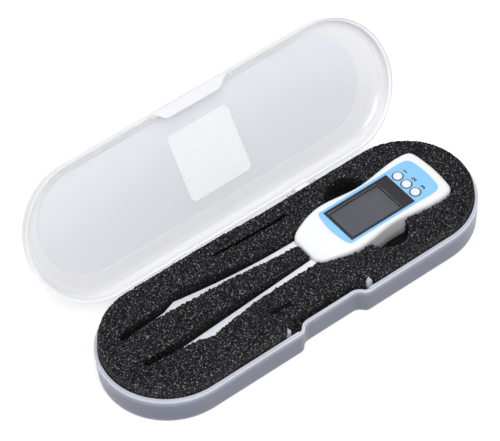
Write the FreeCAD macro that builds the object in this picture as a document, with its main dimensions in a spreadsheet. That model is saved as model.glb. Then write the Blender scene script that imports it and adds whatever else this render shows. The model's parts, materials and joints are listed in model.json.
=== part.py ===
import FreeCAD, Part
import Sketcher
import math
import os
import re

# A hand-held two-prong digital meter in its foam-lined hinged case.
# Millimetres. X runs along the case, Y from the front wall to the hinge, Z up.
# The origin is the middle of the case's underside.

Vector = FreeCAD.Vector
X_AXIS = Vector(1, 0, 0)
Y_AXIS = Vector(0, 1, 0)
Z_AXIS = Vector(0, 0, 1)

doc = FreeCAD.newDocument("TwoProngMeter")


# ---------------------------------------------------------------- driving sizes

SIZES = {
    # case base
    "case_length": 205, "case_width": 67.5, "base_height": 14.5, "base_draft": 0.8,
    "case_wall": 1.6, "case_floor": 1.4, "foot_round": 1.5, "rim_gap": 0.1,
    # thumb notch in the front wall
    "notch_length": 40, "notch_depth": 3.7, "notch_turn": 55, "notch_centre": 0.4,
    # tongue on the base's rim and its groove in the lid
    "tongue_width": 0.8, "tongue_height": 0.9, "tongue_gap": 0.3, "tongue_reach": 8,
    # lid
    "lid_height": 8.8, "lid_roof": 1.2, "lid_draft": 0.6, "lid_round": 5.5,
    "lid_open_angle": 121.3, "tab_thickness": 1.2,
    # hinge
    "hinge_offset": 1.5, "hinge_drop": 0.4, "hinge_spacing": 70, "pin_diameter": 1.0,
    "knuckle_diameter": 2.3, "knuckle_length": 8, "ear_length": 4, "ear_foot": 5.75,
    "knuckle_gap": 0.3, "running_gap": 0.05, "stop_depth": 2.1, "stop_gap": 0.03, "web_height": 2.5,
    # catches at both ends of the thumb notch
    "catch_spacing": 46.7, "catch_centre": -1.2, "catch_width": 2.8, "catch_thickness": 1.2,
    "catch_rise": 4.8, "catch_point": 2.4, "catch_root": 6, "catch_gap": 0.6,
    "nib_spacing": 44.1, "nib_centre": 1.15, "nib_length": 3, "nib_reach": 0.9, "nib_height": 2,
    # label inside the lid
    "label_side": 34.5, "label_round": 3, "label_thickness": 0.2,
    "label_centre_x": 1.6, "label_centre_y": -0.75,
    # foam
    "foam_height": 17.1, "foam_swell": 3.2, "swell_start": 14, "swell_end": -46, "foam_gap": 0.2,
    "pocket_gap": 0.45, "recess_radius": 11, "recess_x": 46.5, "recess_offset": 13.7,
    "recess_depth": 10, "slot_gap": 0.3, "slot_width": 3.6, "slot_tail": 3.5,
    "slit_width": 1.4, "slit_depth": 6,
    "back_slit_length": 43, "back_slit_x": -5, "back_slit_y": 24,
    "front_slit_length": 11, "front_slit_x": -20.3, "front_slit_y": -20,
    # where the meter lies in the case
    "meter_y": 1.7, "meter_z": 6.3,
    # meter head
    "head_front": 10.1, "head_back": 87.1, "head_height": 14.5, "seam_height": 7.0,
    "head_wall": 1.6, "head_roof": 2.4, "face_round": 2.0, "belly_round": 3.0,
    "nose_width": 6.8, "cheek_width": 17.1, "jaw_width": 25.3, "shoulder_width": 31.6,
    "waist_width": 27.7, "hip_width": 32.9, "corner_width": 28.9, "tail_width": 19.9,
    "nose_depth": 0.05, "cheek_depth": 0.8, "jaw_x": 17.4,
    "shoulder_x": 30, "waist_x": 50.7, "hip_x": 78, "corner_depth": 2.0, "tail_depth": 0.7,
    "nose_drop": 3.0, "slope_start": 24, "shell_gap": 0.2,
    # face overlay
    "overlay_thickness": 0.3, "overlay_front": 25.4, "overlay_back": 82.3, "overlay_bow": 1.95,
    "overlay_width": 24, "overlay_hip_width": 24.4,
    "overlay_corner_width": 22, "overlay_tail_width": 13.6,
    "overlay_waist_x": 64, "overlay_hip_x": 76,
    "overlay_corner_depth": 2.0, "overlay_tail_depth": 0.5,
    "overlay_round": 2.0, "overlay_gap": 0.05,
    # display
    "window_length": 37.4, "window_width": 21.2, "window_thickness": 1.5, "window_x": 48.1,
    "window_gap": 0.1, "view_length": 30.2, "view_width": 19.4, "view_x": 45.8,
    "panel_length": 32, "panel_width": 20.4, "panel_thickness": 1.9, "frame_wall": 0.7,
    "strip_width": 1.6, "strip_length": 28, "strip_spacing": 17.2,
    # board
    "board_length": 50, "board_width": 22, "board_thickness": 1.0, "board_x": 52, "board_top": 8.7,
    "chip_side": 10, "chip_height": 1.2,
    "switch_side": 4.5, "switch_height": 2.1, "switch_bore": 2.8, "switch_bore_depth": 1.2,
    # buttons
    "button_x": 70.5, "button_pitch": 6.4, "button_diameter": 4.6, "button_gap": 0.4,
    "button_rise": 0.7, "button_travel": 0.5, "flange_diameter": 6.1, "flange_thickness": 0.5,
    "flange_gap": 0.1, "stem_diameter": 2.3, "stem_gap": 0.3,
    # battery
    "cell_diameter": 16, "cell_thickness": 3.2, "cell_x": 61, "cell_gap": 0.15, "holder_wall": 0.9,
    "contact_width": 3, "contact_thickness": 0.2, "contact_length": 7,
    "door_length": 25, "door_width": 19, "door_x": 63.5, "door_ledge": 1.2,
    "ledge_thickness": 0.8, "ledge_rim": 1.5, "door_gap": 0.15, "door_screw_x": 73.4,
    # screws
    "screw_diameter": 1.6, "screw_head": 3.0, "screw_head_height": 0.8, "screw_length": 8,
    "door_screw_length": 4.5, "board_screw_length": 3, "screw_sink": 0.4, "door_screw_sink": 0.1,
    "screw_slot": 0.5, "head_gap": 0.2,
    "boss_wall": 1.3, "front_boss_x": 23.5, "front_boss_y": 9.7, "rear_boss_x": 80.2,
    "rear_boss_y": 7.5, "post_x": 75.2, "post_y": 9.2,
    # prongs
    "arm_root": 17, "arm_end": -70, "arm_bottom": 4.2, "arm_top": 9.9, "arm_round": 0.4,
    "root_inner": 4.2, "root_outer": 9.2, "swell_x": -22, "swell_outer": 10.9,
    "grip_x": -53.5, "grip_outer": 15.4, "neck_x": -60.5, "neck_outer": 13.0,
    "end_inner": 8.8, "end_outer": 12.0, "arm_gap": 0.1,
    "blade_thickness": 0.8, "blade_height": 3.5, "blade_root": 21.5, "blade_end": -84,
    "blade_end_y": 9.6, "blade_tip_height": 1.2, "blade_tip_length": 8, "blade_gap": 0.05,
    "lead_width": 1.6, "lead_length": 9, "lead_overlap": 1.7, "lead_thickness": 0.2,
    "clamp_front": 13.5, "clamp_length": 6, "clamp_width": 18, "clamp_wall": 0.7,
    "sensor_diameter": 1.4, "sensor_round": 0.4, "sensor_length": 3, "sensor_inset": 1.5,
}

sheet = doc.addObject("Spreadsheet::Sheet", "Sizes")
for row, (name, value) in enumerate(SIZES.items(), start=1):
    sheet.set(f"A{row}", name)
    sheet.set(f"B{row}", str(value))
    sheet.setAlias(f"B{row}", name)
doc.recompute()


def size(name):
    """A driving size, read from the sheet."""
    return float(sheet.get(name))


def formula(text):
    """An expression whose size names are looked up in the sheet."""
    return re.sub(r"[a-z_]+", lambda word: f"Sizes.{word.group()}", text)


# ---------------------------------------------------------------- bound primitives

METER = ("0", "meter_y", "meter_z")
CASE = ("0", "0", "0")


def bind(thing, **expressions):
    """Ties properties of a document object to formulas of the sheet."""
    for name, text in expressions.items():
        thing.setExpression(name.replace("__", "."), formula(text))
    return thing


def seat(thing, x, y, z, home=CASE):
    """Places an object at (x, y, z) of the case or of the meter."""
    base = [f"({at}) + ({start})" for at, start in zip((x, y, z), home)]
    return bind(thing, Placement__Base__x=base[0], Placement__Base__y=base[1], Placement__Base__z=base[2])


def block(label, length, width, height, x, y, z, home=CASE):
    """A box centred on x and y, standing on z."""
    box = doc.addObject("Part::Box", label)
    bind(box, Length=length, Width=width, Height=height)
    return seat(box, f"{x} - ({length}) / 2", f"{y} - ({width}) / 2", z, home)


def rod(label, diameter, length, x, y, z, home=CASE):
    """An upright cylinder standing on z."""
    cylinder = doc.addObject("Part::Cylinder", label)
    bind(cylinder, Radius=f"({diameter}) / 2", Height=length)
    return seat(cylinder, x, y, z, home)


def long_rod(label, diameter, length, x, y, z, home=CASE):
    """A cylinder lying along X, centred on x."""
    cylinder = doc.addObject("Part::Cylinder", label)
    cylinder.Placement = FreeCAD.Placement(Vector(), FreeCAD.Rotation(Y_AXIS, 90))
    bind(cylinder, Radius=f"({diameter}) / 2", Height=length)
    return seat(cylinder, f"{x} - ({length}) / 2", y, z, home)


def cut(label, base, tool):
    """The first object less the second."""
    result = doc.addObject("Part::Cut", label)
    result.Base = base
    result.Tool = tool
    return result


def fuse(label, pieces):
    """Several objects joined into one solid."""
    result = doc.addObject("Part::MultiFuse", label)
    result.Shapes = pieces
    return result


def group(label, pieces):
    """Several separate solids kept as one sub-part."""
    result = doc.addObject("Part::Compound", label)
    result.Links = pieces
    return result


def shaped(label, shape, placement=None):
    """A sub-part whose shape is built by Part's own functions."""
    feature = doc.addObject("Part::Feature", label)
    feature.Shape = shape
    feature.Placement = placement or FreeCAD.Placement()
    return feature


# ---------------------------------------------------------------- bound sketches

def sketch_on(body, role, name):
    """A sketch on one of a body's own origin planes."""
    plane = next(item for item in body.Origin.OriginFeatures if item.Role == role)
    sketch = body.newObject("Sketcher::SketchObject", name)
    sketch.AttachmentSupport = [(plane, "")]
    sketch.MapMode = "FlatFace"
    return sketch


def polygon(sketch, corners):
    """Straight edges through corners, each corner tied to two formulas."""
    count = len(corners)
    guess = [Vector(size_of(u), size_of(v), 0) for u, v in corners]
    first = sketch.GeometryCount
    for place in range(count):
        sketch.addGeometry(Part.LineSegment(guess[place], guess[(place + 1) % count]), False)
    for place in range(count):
        line = first + place
        following = first + (place + 1) % count
        sketch.addConstraint(Sketcher.Constraint("Coincident", line, 2, following, 1))
        for kind, text in zip(("DistanceX", "DistanceY"), corners[place]):
            number = sketch.addConstraint(Sketcher.Constraint(kind, -1, 1, line, 1, size_of(text)))
            sketch.setExpression(f"Constraints[{number}]", formula(text))


def disc(sketch, diameter, x, y):
    """A circle tied to its diameter and the place of its centre."""
    centre = Vector(size_of(x), size_of(y), 0)
    line = sketch.addGeometry(Part.Circle(centre, Z_AXIS, size_of(diameter) / 2), False)
    for kind, text in (("DistanceX", x), ("DistanceY", y)):
        number = sketch.addConstraint(Sketcher.Constraint(kind, -1, 1, line, 3, size_of(text)))
        sketch.setExpression(f"Constraints[{number}]", formula(text))
    number = sketch.addConstraint(Sketcher.Constraint("Diameter", line, size_of(diameter)))
    sketch.setExpression(f"Constraints[{number}]", formula(diameter))


def size_of(text):
    """The present value of a formula of sizes."""
    return float(sheet.evalExpression(text))


def pad(body, sketch, height, name="Pad"):
    """Material from the sketch plane upwards."""
    feature = body.newObject("PartDesign::Pad", name)
    feature.Profile = sketch
    feature.setExpression("Length", formula(height))
    return feature


def pocket(body, sketch, depth, name="Pocket"):
    """A cut from the sketch plane upwards into the solid."""
    feature = body.newObject("PartDesign::Pocket", name)
    feature.Profile = sketch
    feature.Reversed = True
    feature.setExpression("Length", formula(depth))
    return feature


# ---------------------------------------------------------------- case outlines

def case_outline(inset, height, notched=True):
    """The case's round-ended outline moved inwards, with or without the thumb notch."""
    half_width = size("case_width") / 2
    radius = half_width - inset
    centre = size("case_length") / 2 - half_width
    back = Part.LineSegment(Vector(centre, radius, height), Vector(-centre, radius, height))
    left = Part.Arc(back.EndPoint, Vector(-centre - radius, 0, height), Vector(-centre, -radius, height))
    right = Part.Arc(Vector(centre, -radius, height), Vector(centre + radius, 0, height), back.StartPoint)
    if not notched:
        front = Part.LineSegment(left.EndPoint, right.StartPoint)
        return Part.Wire([curve.toShape() for curve in (back, left, front, right)])

    turn = math.radians(size("notch_turn"))
    bend = size("notch_depth") / (2 * (1 - math.cos(turn)))
    middle = size("notch_centre")

    def bend_point(side, towards, angle):
        """A point of one end's outer bend (towards = 1) or inner bend (towards = -1)."""
        across = size("notch_length") / 2 * -side
        down = bend - half_width
        if towards < 0:
            across += 2 * bend * math.sin(turn) * side
            down -= 2 * bend * math.cos(turn)
        reach = bend - towards * inset
        x = middle + across + side * towards * reach * math.sin(angle)
        return Vector(x, down - towards * reach * math.cos(angle), height)

    curves = []
    for side in (1, -1):
        outer = [bend_point(side, 1, turn * part) for part in (0, 0.5, 1)]
        inner = [bend_point(side, -1, turn * part) for part in (1, 0.5, 0)]
        ends = [Part.Arc(*outer), Part.Arc(*inner)]
        curves.append(ends if side > 0 else [Part.Arc(*reversed(inner)), Part.Arc(*reversed(outer))])
    lead_in = Part.LineSegment(left.EndPoint, curves[0][0].StartPoint)
    floor = Part.LineSegment(curves[0][1].EndPoint, curves[1][0].StartPoint)
    lead_out = Part.LineSegment(curves[1][1].EndPoint, right.StartPoint)
    chain = [back, left, lead_in, *curves[0], floor, *curves[1], lead_out, right]
    return Part.Wire([curve.toShape() for curve in chain])


def prism(wire, height):
    """An outline raised along Z."""
    return Part.Face(wire).extrude(Vector(0, 0, height))


def loft(lower, upper):
    """A solid with straight sides between two outlines."""
    return Part.makeLoft([lower, upper], True, True)


def box_between(low, high):
    """A box from its lowest to its highest corner."""
    return Part.makeBox(high[0] - low[0], high[1] - low[1], high[2] - low[2], Vector(*low))


def slab_across(arcs, corners):
    """A slab right across the case, from its outline seen from the front: arcs closed by straight lines."""
    wide = size("case_width")
    bends = [Part.Arc(*[Vector(x, -wide, z) for x, z in points]).toShape() for points in arcs]
    straight = Part.makePolygon([Vector(x, -wide, z) for x, z in corners]).Edges
    return Part.Face(Part.Wire(bends + straight)).extrude(Vector(0, 2 * wide, 0))


def flat_edges(shape, height):
    """The edges that lie wholly at one height."""
    found = []
    for edge in shape.Edges:
        box = edge.BoundBox
        if abs(box.ZMin - height) < TOLERANCE and abs(box.ZMax - height) < TOLERANCE:
            found.append(edge)
    return found


TOLERANCE = 0.01
HALF_WIDTH = size("case_width") / 2
RIM = size("base_height")
LID_RIM = RIM + size("rim_gap")
LID_TOP = LID_RIM + size("lid_height")
HINGE_Y = HALF_WIDTH + size("hinge_offset")
HINGE_Z = RIM - size("hinge_drop")
FOAM_TOP = size("case_floor") + size("foam_height")
FOAM_CREST = FOAM_TOP + size("foam_swell")
METER_HOME = Vector(0, size("meter_y"), size("meter_z"))


def notch_span(margin):
    """A tall box over the thumb notch."""
    reach = size("notch_length") / 2 + margin
    middle = size("notch_centre")
    return box_between((middle - reach, -size("case_width"), 0), (middle + reach, 0, LID_TOP))


def tongue_ring(inner, outer, height):
    """A ring on the rim, between two insets, at the ends and beside the thumb notch."""
    ring = prism(case_outline(outer, RIM, False), height)
    ring = ring.cut(prism(case_outline(inner, RIM, False), height))
    reach = size("case_length")
    keep = box_between((-reach, -reach, 0), (reach, size("tongue_reach"), LID_TOP))
    return ring.common(keep).cut(notch_span(size("tongue_gap")))


def catch_places():
    half = size("catch_spacing") / 2
    return [size("catch_centre") - half, size("catch_centre") + half]


def nib_places():
    half = size("nib_spacing") / 2
    return [size("nib_centre") - half, size("nib_centre") + half]


def catch(x):
    """A pointed upright catch, on a foot from the front wall."""
    half = size("catch_width") / 2
    near = -HALF_WIDTH + size("case_wall") + size("catch_gap") + size("base_draft")
    tip = RIM + size("catch_rise")
    shoulder = tip - size("catch_point")
    root = size("catch_root")
    corners = [(x - half, root), (x + half, root), (x + half, shoulder), (x, tip), (x - half, shoulder)]
    outline = Part.makePolygon([Vector(u, near, v) for u, v in corners + corners[:1]])
    blade = Part.Face(outline).extrude(Vector(0, size("catch_thickness"), 0))
    foot = box_between(
        (x - half, -HALF_WIDTH + size("case_wall") / 2, root),
        (x + half, near + size("catch_thickness") / 2, RIM - size("tongue_height")),
    )
    return blade.fuse(foot)


def hinge_places():
    half = size("hinge_spacing") / 2
    return [-half, half]


def hinge_rod(x, length, diameter):
    """A cylinder on the hinge's axis, centred on x."""
    return Part.makeCylinder(diameter / 2, length, Vector(x - length / 2, HINGE_Y, HINGE_Z), X_AXIS)


def pin_length():
    return size("knuckle_length") + 2 * (size("knuckle_gap") + size("ear_length"))


def hinge_ear(x):
    """An ear on the back wall that holds a hinge pin."""
    length = size("ear_length")
    radius = size("knuckle_diameter") / 2
    wall = HALF_WIDTH - size("case_wall") / 2
    slant = radius * math.sin(math.radians(45))
    corners = [(wall, HINGE_Z - size("ear_foot")), (wall, HINGE_Z), (HINGE_Y, HINGE_Z)]
    corners += [(HINGE_Y + radius, HINGE_Z), (HINGE_Y + slant, HINGE_Z - slant)]
    outline = Part.makePolygon([Vector(x - length / 2, u, v) for u, v in corners + corners[:1]])
    gusset = Part.Face(outline).extrude(Vector(length, 0, 0))
    return gusset.fuse(hinge_rod(x, length, size("knuckle_diameter")))


def case_base():
    """The moulded tray: drafted walls, thumb notch, rim tongue, catches and hinge ears."""
    draft, wall, floor = size("base_draft"), size("case_wall"), size("case_floor")
    outer = loft(case_outline(draft, 0), case_outline(0, RIM))
    outer = outer.makeFillet(size("foot_round"), flat_edges(outer, 0))
    inner_low = case_outline(wall + draft * (1 - floor / RIM), floor)
    tray = outer.cut(loft(inner_low, case_outline(wall, RIM)))
    tongue = tongue_ring(wall, wall - size("tongue_width"), size("tongue_height"))
    additions = [tongue] + [catch(x) for x in catch_places()]
    offset = size("knuckle_length") / 2 + size("knuckle_gap") + size("ear_length") / 2
    for x in hinge_places():
        additions += [hinge_ear(x - offset), hinge_ear(x + offset)]
    tray = tray.fuse(additions)
    for x in hinge_places():
        tray = tray.cut(hinge_rod(x, pin_length(), size("pin_diameter")))
    return tray.removeSplitter()


# ---------------------------------------------------------------- lid

def lid_swing():
    """The open lid's place: turned back about the hinge from the closed position."""
    turn = FreeCAD.Rotation(X_AXIS, -size("lid_open_angle"))
    return FreeCAD.Placement(Vector(), turn, Vector(0, HINGE_Y, HINGE_Z))


def lid_knuckle(x):
    """A hinge knuckle with its web and the heel that stops the open lid."""
    length = size("knuckle_length")
    radius = size("knuckle_diameter") / 2
    barrel = hinge_rod(x, length, 2 * radius)
    web = box_between(
        (x - length / 2, HALF_WIDTH - size("case_wall") / 2, LID_RIM),
        (x + length / 2, HINGE_Y + radius / 2, LID_RIM + size("web_height")),
    )
    heel = box_between(
        (x - length / 2, HALF_WIDTH + size("stop_gap"), HINGE_Z - size("stop_depth")),
        (x + length / 2, HINGE_Y, HINGE_Z),
    )
    heel.rotate(Vector(0, HINGE_Y, HINGE_Z), X_AXIS, size("lid_open_angle"))
    return barrel.fuse([web, heel])


def nib(x):
    """A three-cornered nib on the lid's front wall, which the catch snaps past."""
    half = size("nib_length") / 2
    wall = -HALF_WIDTH + size("case_wall") + size("lid_draft")
    low = LID_RIM + size("tongue_height") + size("tongue_gap")
    corners = [(x - half, wall - size("case_wall") / 2), (x + half, wall - size("case_wall") / 2)]
    corners.append((x + half / 2, -HALF_WIDTH + size("case_wall") + size("nib_reach")))
    outline = Part.makePolygon([Vector(u, v, low) for u, v in corners + corners[:1]])
    return Part.Face(outline).extrude(Vector(0, 0, size("nib_height")))


def case_lid():
    """The moulded lid, closed: shell, tongue groove, thumb tab, nibs and hinge knuckles."""
    draft, wall, roof = size("lid_draft"), size("case_wall"), size("lid_roof")
    ceiling = LID_TOP - roof
    outer = loft(case_outline(0, LID_RIM, False), case_outline(draft, LID_TOP, False))
    outer = outer.makeFillet(size("lid_round"), flat_edges(outer, LID_TOP))
    inner = loft(case_outline(wall, LID_RIM, False), case_outline(wall + draft, ceiling, False))
    inner = inner.makeFillet(size("lid_round") - roof, flat_edges(inner, ceiling))
    groove = prism(
        case_outline(wall - size("tongue_width") - size("tongue_gap"), LID_RIM, False),
        size("tongue_height") + size("tongue_gap"),
    ).cut(notch_span(0))
    shell = outer.cut(inner).cut(groove)
    tab = prism(case_outline(0, LID_RIM, False), size("tab_thickness"))
    tab = tab.cut(prism(case_outline(wall, LID_RIM), size("tab_thickness"))).common(notch_span(0))
    shell = shell.fuse([tab] + [nib(x) for x in nib_places()] + [lid_knuckle(x) for x in hinge_places()])
    for x in hinge_places():
        shell = shell.cut(hinge_rod(x, pin_length(), size("pin_diameter") + 2 * size("running_gap")))
    return shell.removeSplitter()


def lid_label():
    """The square paper label inside the lid."""
    body = doc.addObject("PartDesign::Body", "lid_label")
    sketch = sketch_on(body, "XY_Plane", "LabelOutline")
    half = "label_side / 2"
    polygon(sketch, [(f"-{half}", f"-{half}"), (half, f"-{half}"), (half, half), (f"-{half}", half)])
    sheet_of_paper = pad(body, sketch, "label_thickness")
    doc.recompute()
    rounding = body.newObject("PartDesign::Fillet", "LabelCorners")
    edges = enumerate(sheet_of_paper.Shape.Edges, 1)
    upright_edges = [f"Edge{number}" for number, edge in edges if edge.BoundBox.ZLength > TOLERANCE]
    rounding.Base = (sheet_of_paper, upright_edges)
    rounding.setExpression("Radius", formula("label_round"))
    ceiling = LID_TOP - size("lid_roof") - size("label_thickness")
    place = Vector(size("label_centre_x"), size("label_centre_y"), ceiling)
    body.Placement = lid_swing().multiply(FreeCAD.Placement(place, FreeCAD.Rotation()))
    return body


# ---------------------------------------------------------------- prongs

def arm_prism(side, grow, low, high):
    """One arm's plan outline, widened by grow, raised between two heights."""
    root, grip, end = size("arm_root") + grow, size("grip_x"), size("arm_end") - grow
    swell = [(size("arm_root"), size("root_outer")), (size("swell_x"), size("swell_outer"))]
    swell.append((grip, size("grip_outer")))
    curve = Part.Arc(*[Vector(x, side * (y + grow), low) for x, y in swell])
    corners = [
        (grip, size("grip_outer") + grow),
        (size("neck_x"), size("neck_outer") + grow),
        (end, size("end_outer") + grow),
        (end, size("end_inner") - grow),
        (root, size("root_inner") - grow),
        (root, size("root_outer") + grow),
        (size("arm_root"), size("root_outer") + grow),
    ]
    points = [Vector(x, side * y, low) for x, y in corners]
    if grow == 0:
        points.pop(-2)
    wire = Part.Wire([curve.toShape()] + Part.makePolygon(points).Edges)
    return Part.Face(wire).extrude(Vector(0, 0, high - low))


def blade_path():
    """The middle line of a blade: root in the head, bend at the sheath's end, tip."""
    root_y = (size("root_inner") + size("root_outer")) / 2
    end_y = (size("end_inner") + size("end_outer")) / 2
    lean = (end_y - root_y) / (size("arm_end") - size("arm_root"))
    root = (size("blade_root"), root_y + lean * (size("blade_root") - size("arm_root")))
    return [root, (size("arm_end"), end_y), (size("blade_end"), size("blade_end_y"))]


def strip_prism(side, path, width, low, high):
    """A strip of one width along a path in plan, raised between two heights."""
    there = [Vector(x, side * (y + width / 2), low) for x, y in path]
    back = [Vector(x, side * (y - width / 2), low) for x, y in reversed(path)]
    return Part.Face(Part.makePolygon(there + back + there[:1])).extrude(Vector(0, 0, high - low))


def blade(side, gap):
    """A metal blade, thickened by a gap when it is used as a cutter, with its tip tapered in height."""
    top = size("board_top")
    low = top - size("blade_height")
    tip_top = (top + low + size("blade_tip_height")) / 2
    tip_low = tip_top - size("blade_tip_height")
    end = size("blade_end")
    taper = end + size("blade_tip_length")
    root = size("blade_root")
    strip = strip_prism(side, blade_path(), size("blade_thickness") + 2 * gap, low - gap, top + gap)
    corners = [(root, low), (taper, low), (end, tip_low), (end, tip_top), (taper, top), (root, top)]
    raised = [(x, z + gap if z > (top + low) / 2 else z - gap) for x, z in corners]
    return strip.common(slab_across([], raised + raised[:1]))


def sheath(side):
    """A white moulded arm with a channel for its blade."""
    arm = arm_prism(side, 0, size("arm_bottom"), size("arm_top"))
    rims = flat_edges(arm, size("arm_top")) + flat_edges(arm, size("arm_bottom"))
    return arm.makeFillet(size("arm_round"), rims).cut(blade(side, size("blade_gap")))


def sensor(side):
    """A temperature bead on the inner face of one blade's tip."""
    (bend_x, bend_y), (end_x, end_y) = blade_path()[1:]
    x = end_x + size("sensor_inset")
    y = end_y + (bend_y - end_y) * (x + size("sensor_length") / 2 - end_x) / (bend_x - end_x)
    middle = size("board_top") - size("blade_height") / 2
    radius = size("sensor_diameter") / 2
    near = side * (y - size("blade_thickness") / 2 - radius / 2)
    bead = Part.makeCylinder(radius, size("sensor_length"), Vector(x, near, middle), X_AXIS)
    rims = [edge for edge in bead.Edges if edge.BoundBox.XLength < TOLERANCE]
    return bead.makeFillet(size("sensor_round"), rims).cut(blade(side, 0))


# ---------------------------------------------------------------- head outline

def head_outline(inset, height):
    """The meter head's plan outline, a smooth closed curve moved inwards."""
    front, back = size("head_front") + inset, size("head_back") - inset
    half = [
        (front + size("nose_depth"), size("nose_width")),
        (front + size("cheek_depth"), size("cheek_width")),
        (size("jaw_x"), size("jaw_width")),
        (size("shoulder_x"), size("shoulder_width")),
        (size("waist_x"), size("waist_width")),
        (size("hip_x"), size("hip_width")),
        (back - size("corner_depth"), size("corner_width")),
        (back - size("tail_depth"), size("tail_width")),
    ]
    left = [Vector(x, width / 2 - inset, height) for x, width in half]
    right = [Vector(point.x, -point.y, height) for point in reversed(left)]
    curve = Part.BSplineCurve()
    points = [Vector(front, 0, height)] + left + [Vector(back, 0, height)] + right
    curve.interpolate(Points=points, PeriodicFlag=True)
    return Part.Wire([curve.toShape()])


# ---------------------------------------------------------------- foam

def slit(length, x, y):
    """A narrow knife cut in the foam's top."""
    low = (x - length / 2, y - size("slit_width") / 2, FOAM_TOP - size("slit_depth"))
    return box_between(low, (x + length / 2, y + size("slit_width") / 2, FOAM_CREST))


def slot_path():
    """The blade's slot in plan, longer than the bare blade at both ends."""
    (bend_x, bend_y), (end_x, end_y) = blade_path()[1:]
    tail = size("slot_tail")
    lean = (end_y - bend_y) / (end_x - bend_x)
    return [(bend_x + tail, bend_y + lean * tail), (end_x - tail, end_y - lean * tail)]


def meter_room():
    """The room that the meter needs in the foam: its head, its arms and its blades."""
    gap, slot_gap = size("pocket_gap"), size("slot_gap")
    low = size("arm_bottom") - slot_gap
    rooms = [prism(head_outline(-gap, -gap), FOAM_CREST)]
    for side in (1, -1):
        rooms.append(arm_prism(side, slot_gap, low, FOAM_CREST))
        rooms.append(strip_prism(side, slot_path(), size("slot_width"), low, FOAM_CREST))
    for room in rooms:
        room.translate(METER_HOME)
    return rooms


def catch_room(x, width):
    """The room that a catch or a nib needs at the foam's front edge."""
    gap = size("catch_gap")
    wall = -HALF_WIDTH + size("case_wall") + size("base_draft")
    inner = wall + size("catch_thickness") + 2 * gap
    low = (x - width / 2 - gap, -HALF_WIDTH, size("catch_root") - gap)
    return box_between(low, (x + width / 2 + gap, inner, FOAM_CREST))


def finger_recess(side):
    """A round hole beside the head, for a finger that lifts the meter."""
    low, y = FOAM_TOP - size("recess_depth"), size("meter_y") + side * size("recess_offset")
    return upright(2 * size("recess_radius"), size("recess_x"), y, low, FOAM_CREST)


def swelling_top():
    """All that is below the foam's top, which is level at the head and swells up towards the prongs."""
    start, end, rise = size("swell_start"), size("swell_end"), size("foam_swell")
    reach, middle = size("case_length"), (start + end) / 2
    # half way to the middle, an arc that starts level has made an eighth of the whole rise
    lower = [(start, FOAM_TOP), ((start + middle) / 2, FOAM_TOP + rise / 8), (middle, FOAM_TOP + rise / 2)]
    upper = [lower[-1], ((middle + end) / 2, FOAM_CREST - rise / 8), (end, FOAM_CREST)]
    rest = [upper[-1], (-reach, FOAM_CREST), (-reach, 0), (reach, 0), (reach, FOAM_TOP), lower[0]]
    return slab_across([lower, upper], rest)


def foam_blank():
    """The uncut foam: it fills the base, and its rounded top edge fits under the closed lid."""
    inset, floor = size("case_wall") + size("base_draft") + size("foam_gap"), size("case_floor")
    top = LID_TOP - size("lid_roof") - size("foam_gap")
    under_lid = prism(case_outline(inset, floor, False), top - floor)
    under_lid = under_lid.makeFillet(size("lid_round") - size("lid_roof"), flat_edges(under_lid, top))
    return prism(case_outline(inset, floor), top - floor).common(under_lid).common(swelling_top())


def foam_insert():
    """The foam block with the meter's room, the finger recesses, the slits and the catches' room."""
    cuts = meter_room() + [finger_recess(side) for side in (1, -1)]
    cuts.append(slit(size("back_slit_length"), size("back_slit_x"), size("back_slit_y")))
    cuts.append(slit(size("front_slit_length"), size("front_slit_x"), size("front_slit_y")))
    cuts += [catch_room(x, size("catch_width")) for x in catch_places()]
    cuts += [catch_room(x, size("nib_length")) for x in nib_places()]
    return foam_blank().cut(cuts)


# ---------------------------------------------------------------- meter head

def nose_profile(top):
    """All that is below the head's top, which is level and slopes down to the nose."""
    margin = size("head_wall")
    front, back = size("head_front") - margin, size("head_back") + margin
    start, drop = size("slope_start"), size("nose_drop")
    # half way along, a slope that starts level has dropped by a quarter
    slope = [(start, top), ((start + front) / 2, top - drop / 4), (front, top - drop)]
    return slab_across([slope], [slope[-1], (front, -margin), (back, -margin), (back, top), slope[0]])


def head_block(inset, low, top):
    """The head between two heights, moved inwards at its sides."""
    return prism(head_outline(inset, low), size("head_height") - low).common(nose_profile(top))


def upright(diameter, x, y, low, high):
    """A cylinder between two heights."""
    return Part.makeCylinder(diameter / 2, high - low, Vector(x, y, low))


def screw_places():
    """The four screws that hold the head's two shells together."""
    front, rear = size("front_boss_x"), size("rear_boss_x")
    across, back = size("front_boss_y"), size("rear_boss_y")
    return [(front, across), (front, -across), (rear, back), (rear, -back)]


def arm_openings():
    """The room that the two arms need in the nose."""
    gap = size("arm_gap")
    low, high = size("arm_bottom") - gap, size("arm_top") + gap
    return [arm_prism(side, gap, low, high) for side in (1, -1)]


def overlay_outline(inset, height):
    """The face overlay's outline: bowed front, straight sides, full round back."""
    front = size("overlay_front") + inset
    back = size("overlay_back") - inset
    half = size("overlay_width") / 2 - inset
    shoulder = front + size("overlay_bow")
    waist = size("overlay_waist_x")
    bow = Part.Arc(*[Vector(x, y, height) for x, y in ((shoulder, -half), (front, 0), (shoulder, half))])
    upper = [
        (waist, half),
        (size("overlay_hip_x"), size("overlay_hip_width") / 2 - inset),
        (back - size("overlay_corner_depth"), size("overlay_corner_width") / 2 - inset),
        (back - size("overlay_tail_depth"), size("overlay_tail_width") / 2 - inset),
    ]
    around = upper + [(back, 0)] + [(x, -y) for x, y in reversed(upper)]
    tail = Part.BSplineCurve()
    tail.interpolate(
        Points=[Vector(x, y, height) for x, y in around],
        InitialTangent=X_AXIS * half,
        FinalTangent=X_AXIS * -half,
    )
    near_side = Part.LineSegment(bow.EndPoint, tail.StartPoint)
    far_side = Part.LineSegment(tail.EndPoint, bow.StartPoint)
    return Part.Wire([curve.toShape() for curve in (bow, near_side, tail, far_side)])


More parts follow.
